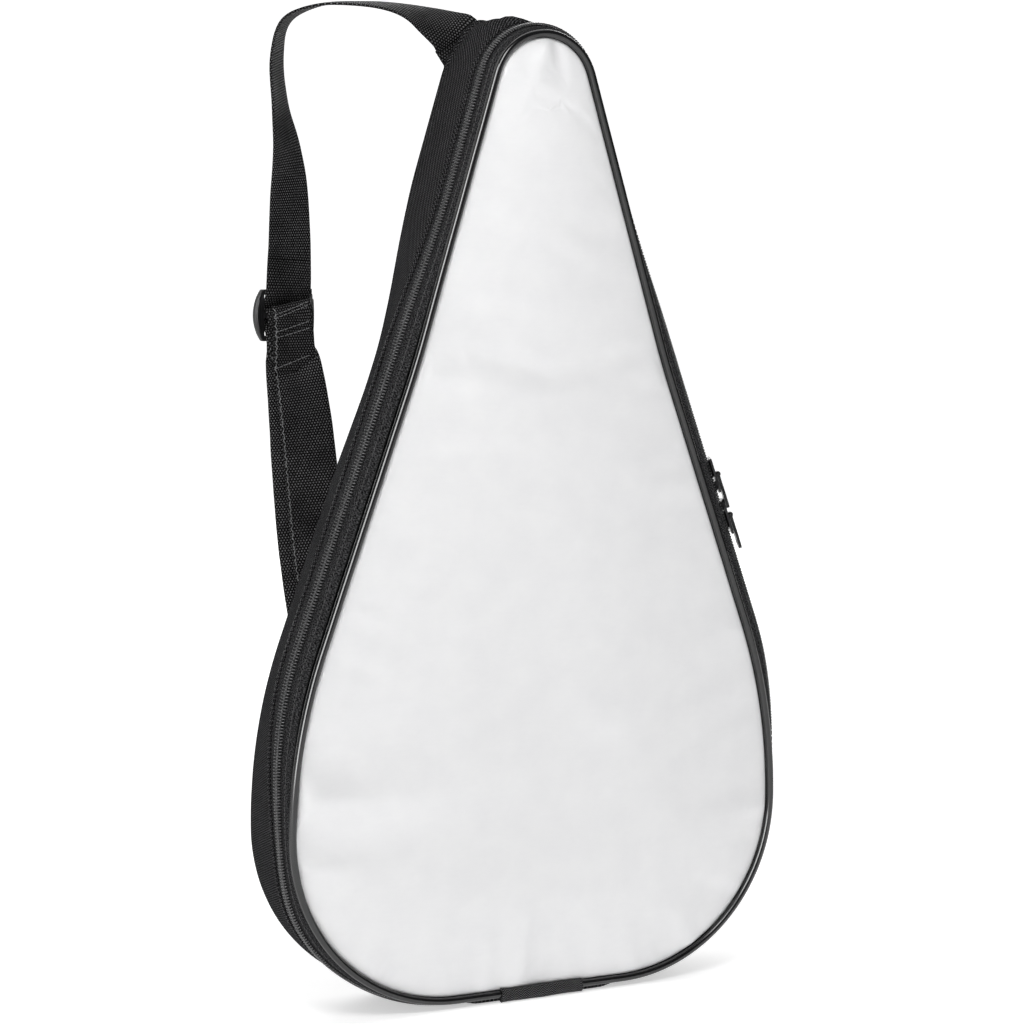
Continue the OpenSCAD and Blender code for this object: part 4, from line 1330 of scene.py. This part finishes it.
def add_floor():
    """A pale sheet that lies flat under the case and sweeps up well behind it."""
    mat = Nodes("floor")
    n = mat.noise(mat.coords("Object"), 3, 2)
    tone = mat.mix(n, (0.9, 0.9, 0.9), (0.93, 0.93, 0.93))
    half, front, flat, bend, high = 8.0, -16.0, 2.5, 3.0, 9.0
    _, y, _ = mat.split(mat.coords("Object"))
    glow = mat.node("ShaderNodeMapRange", {0: y, 1: 1.0, 2: flat + bend, 3: 0.5, 4: 0.7}).outputs[0]
    mat.set(Base_Color=tone, Roughness=0.8, Emission_Color=(1.0, 1.0, 1.0), Emission_Strength=glow)
    line = [(front, 0.0), (0.0, 0.0)]
    line += [(flat + bend * math.sin(a), bend - bend * math.cos(a)) for a in np.linspace(0, math.pi / 2, 24)]
    line.append((flat + bend, high))
    verts = [(x, y, z) for y, z in line for x in (-half, half)]
    faces = [(2 * i, 2 * i + 1, 2 * i + 3, 2 * i + 2) for i in range(len(line) - 1)]
    floor = mesh_object("floor", verts, faces)
    floor.data.materials.append(mat.mat)


def add_light(name, size, power, where, aim):
    """A soft rectangular lamp. The card is seen only in glossy reflections, as a white board is."""
    data = bpy.data.lights.new(name, "AREA")
    data.shape, data.size, data.size_y = "RECTANGLE", size[0], size[1]
    data.energy = power
    ob = bpy.data.objects.new(name, data)
    ob.location = where
    ob.rotation_euler = (Vector(aim) - Vector(where)).to_track_quat("-Z", "Y").to_euler()
    ob.visible_diffuse = name != "card"
    bpy.context.scene.collection.objects.link(ob)


WORLD_RAYS = (("Is Glossy Ray", 0.06), ("Is Diffuse Ray", 0.28))


def add_world():
    """White for the camera, and much dimmer in reflections and as fill."""
    world = bpy.data.worlds.new("studio")
    bpy.context.scene.world = world
    world.use_nodes = True
    tree = world.node_tree
    back, path = tree.nodes["Background"], tree.nodes.new("ShaderNodeLightPath")
    back.inputs[0].default_value = (1, 1, 1, 1)
    power = path.outputs["Is Camera Ray"]
    for ray, strength in WORLD_RAYS:
        pick = tree.nodes.new("ShaderNodeMix")
        tree.links.new(path.outputs[ray], pick.inputs[0])
        tree.links.new(power, pick.inputs[2])
        pick.inputs[3].default_value = strength
        power = pick.outputs[0]
    tree.links.new(power, back.inputs[1])


LENS, SENSOR, SHIFT = 102.9, 36, (-0.0296, 0.0060)
EYE, AIM, ROLL = Vector((-0.7169, -1.3727, 0.4161)), Vector((0, FRONT_Y, 0.2566)), math.radians(0.28)


def add_camera():
    data = bpy.data.cameras.new("photo_view")
    data.lens, data.sensor_width = LENS, SENSOR
    data.shift_x, data.shift_y = SHIFT
    ob = bpy.data.objects.new("photo_view", data)
    turn = (AIM - EYE).to_track_quat("-Z", "Y").to_matrix().to_4x4()
    ob.matrix_world = Matrix.Translation(EYE) @ turn @ Matrix.Rotation(ROLL, 4, "Z")
    bpy.context.scene.collection.objects.link(ob)
    bpy.context.scene.camera = ob


# name, size, power, place and the point it is aimed at
LAMPS = (
    ("key", (0.45, 0.45), 6.1, (-0.45, -0.72, 1.14), (-0.02, 0, 0.5)),
    ("wide", (1.6, 1.6), 2.9, (-1.2, -2.2, 1.2), (0, 0, 0.26)),
    ("card", (1.1, 2.0), 70, (-1.6, -0.85, 0.6), (0, 0, 0.26)),
    ("top", (1.4, 1.0), 4, (0.2, 0.5, 2.0), (0, 0, 0.26)),
    ("rear", (1.0, 1.0), 9, (1.1, 2.0, 1.0), (0, 0, 0.26)),
)
for build in (
    build_pads, build_piping, build_sleeve, build_tapes, build_coils, build_gusset, build_bindings,
    build_seam_stitches, build_base, build_sliders, build_strap, build_tail_patch, build_tail_stitches,
    build_glide, build_root, build_ring, build_lower_tab, add_floor,
):
    build()
for lamp in LAMPS:
    add_light(*lamp)
add_world()
add_camera()
bpy.context.scene.view_settings.view_transform = "Standard"
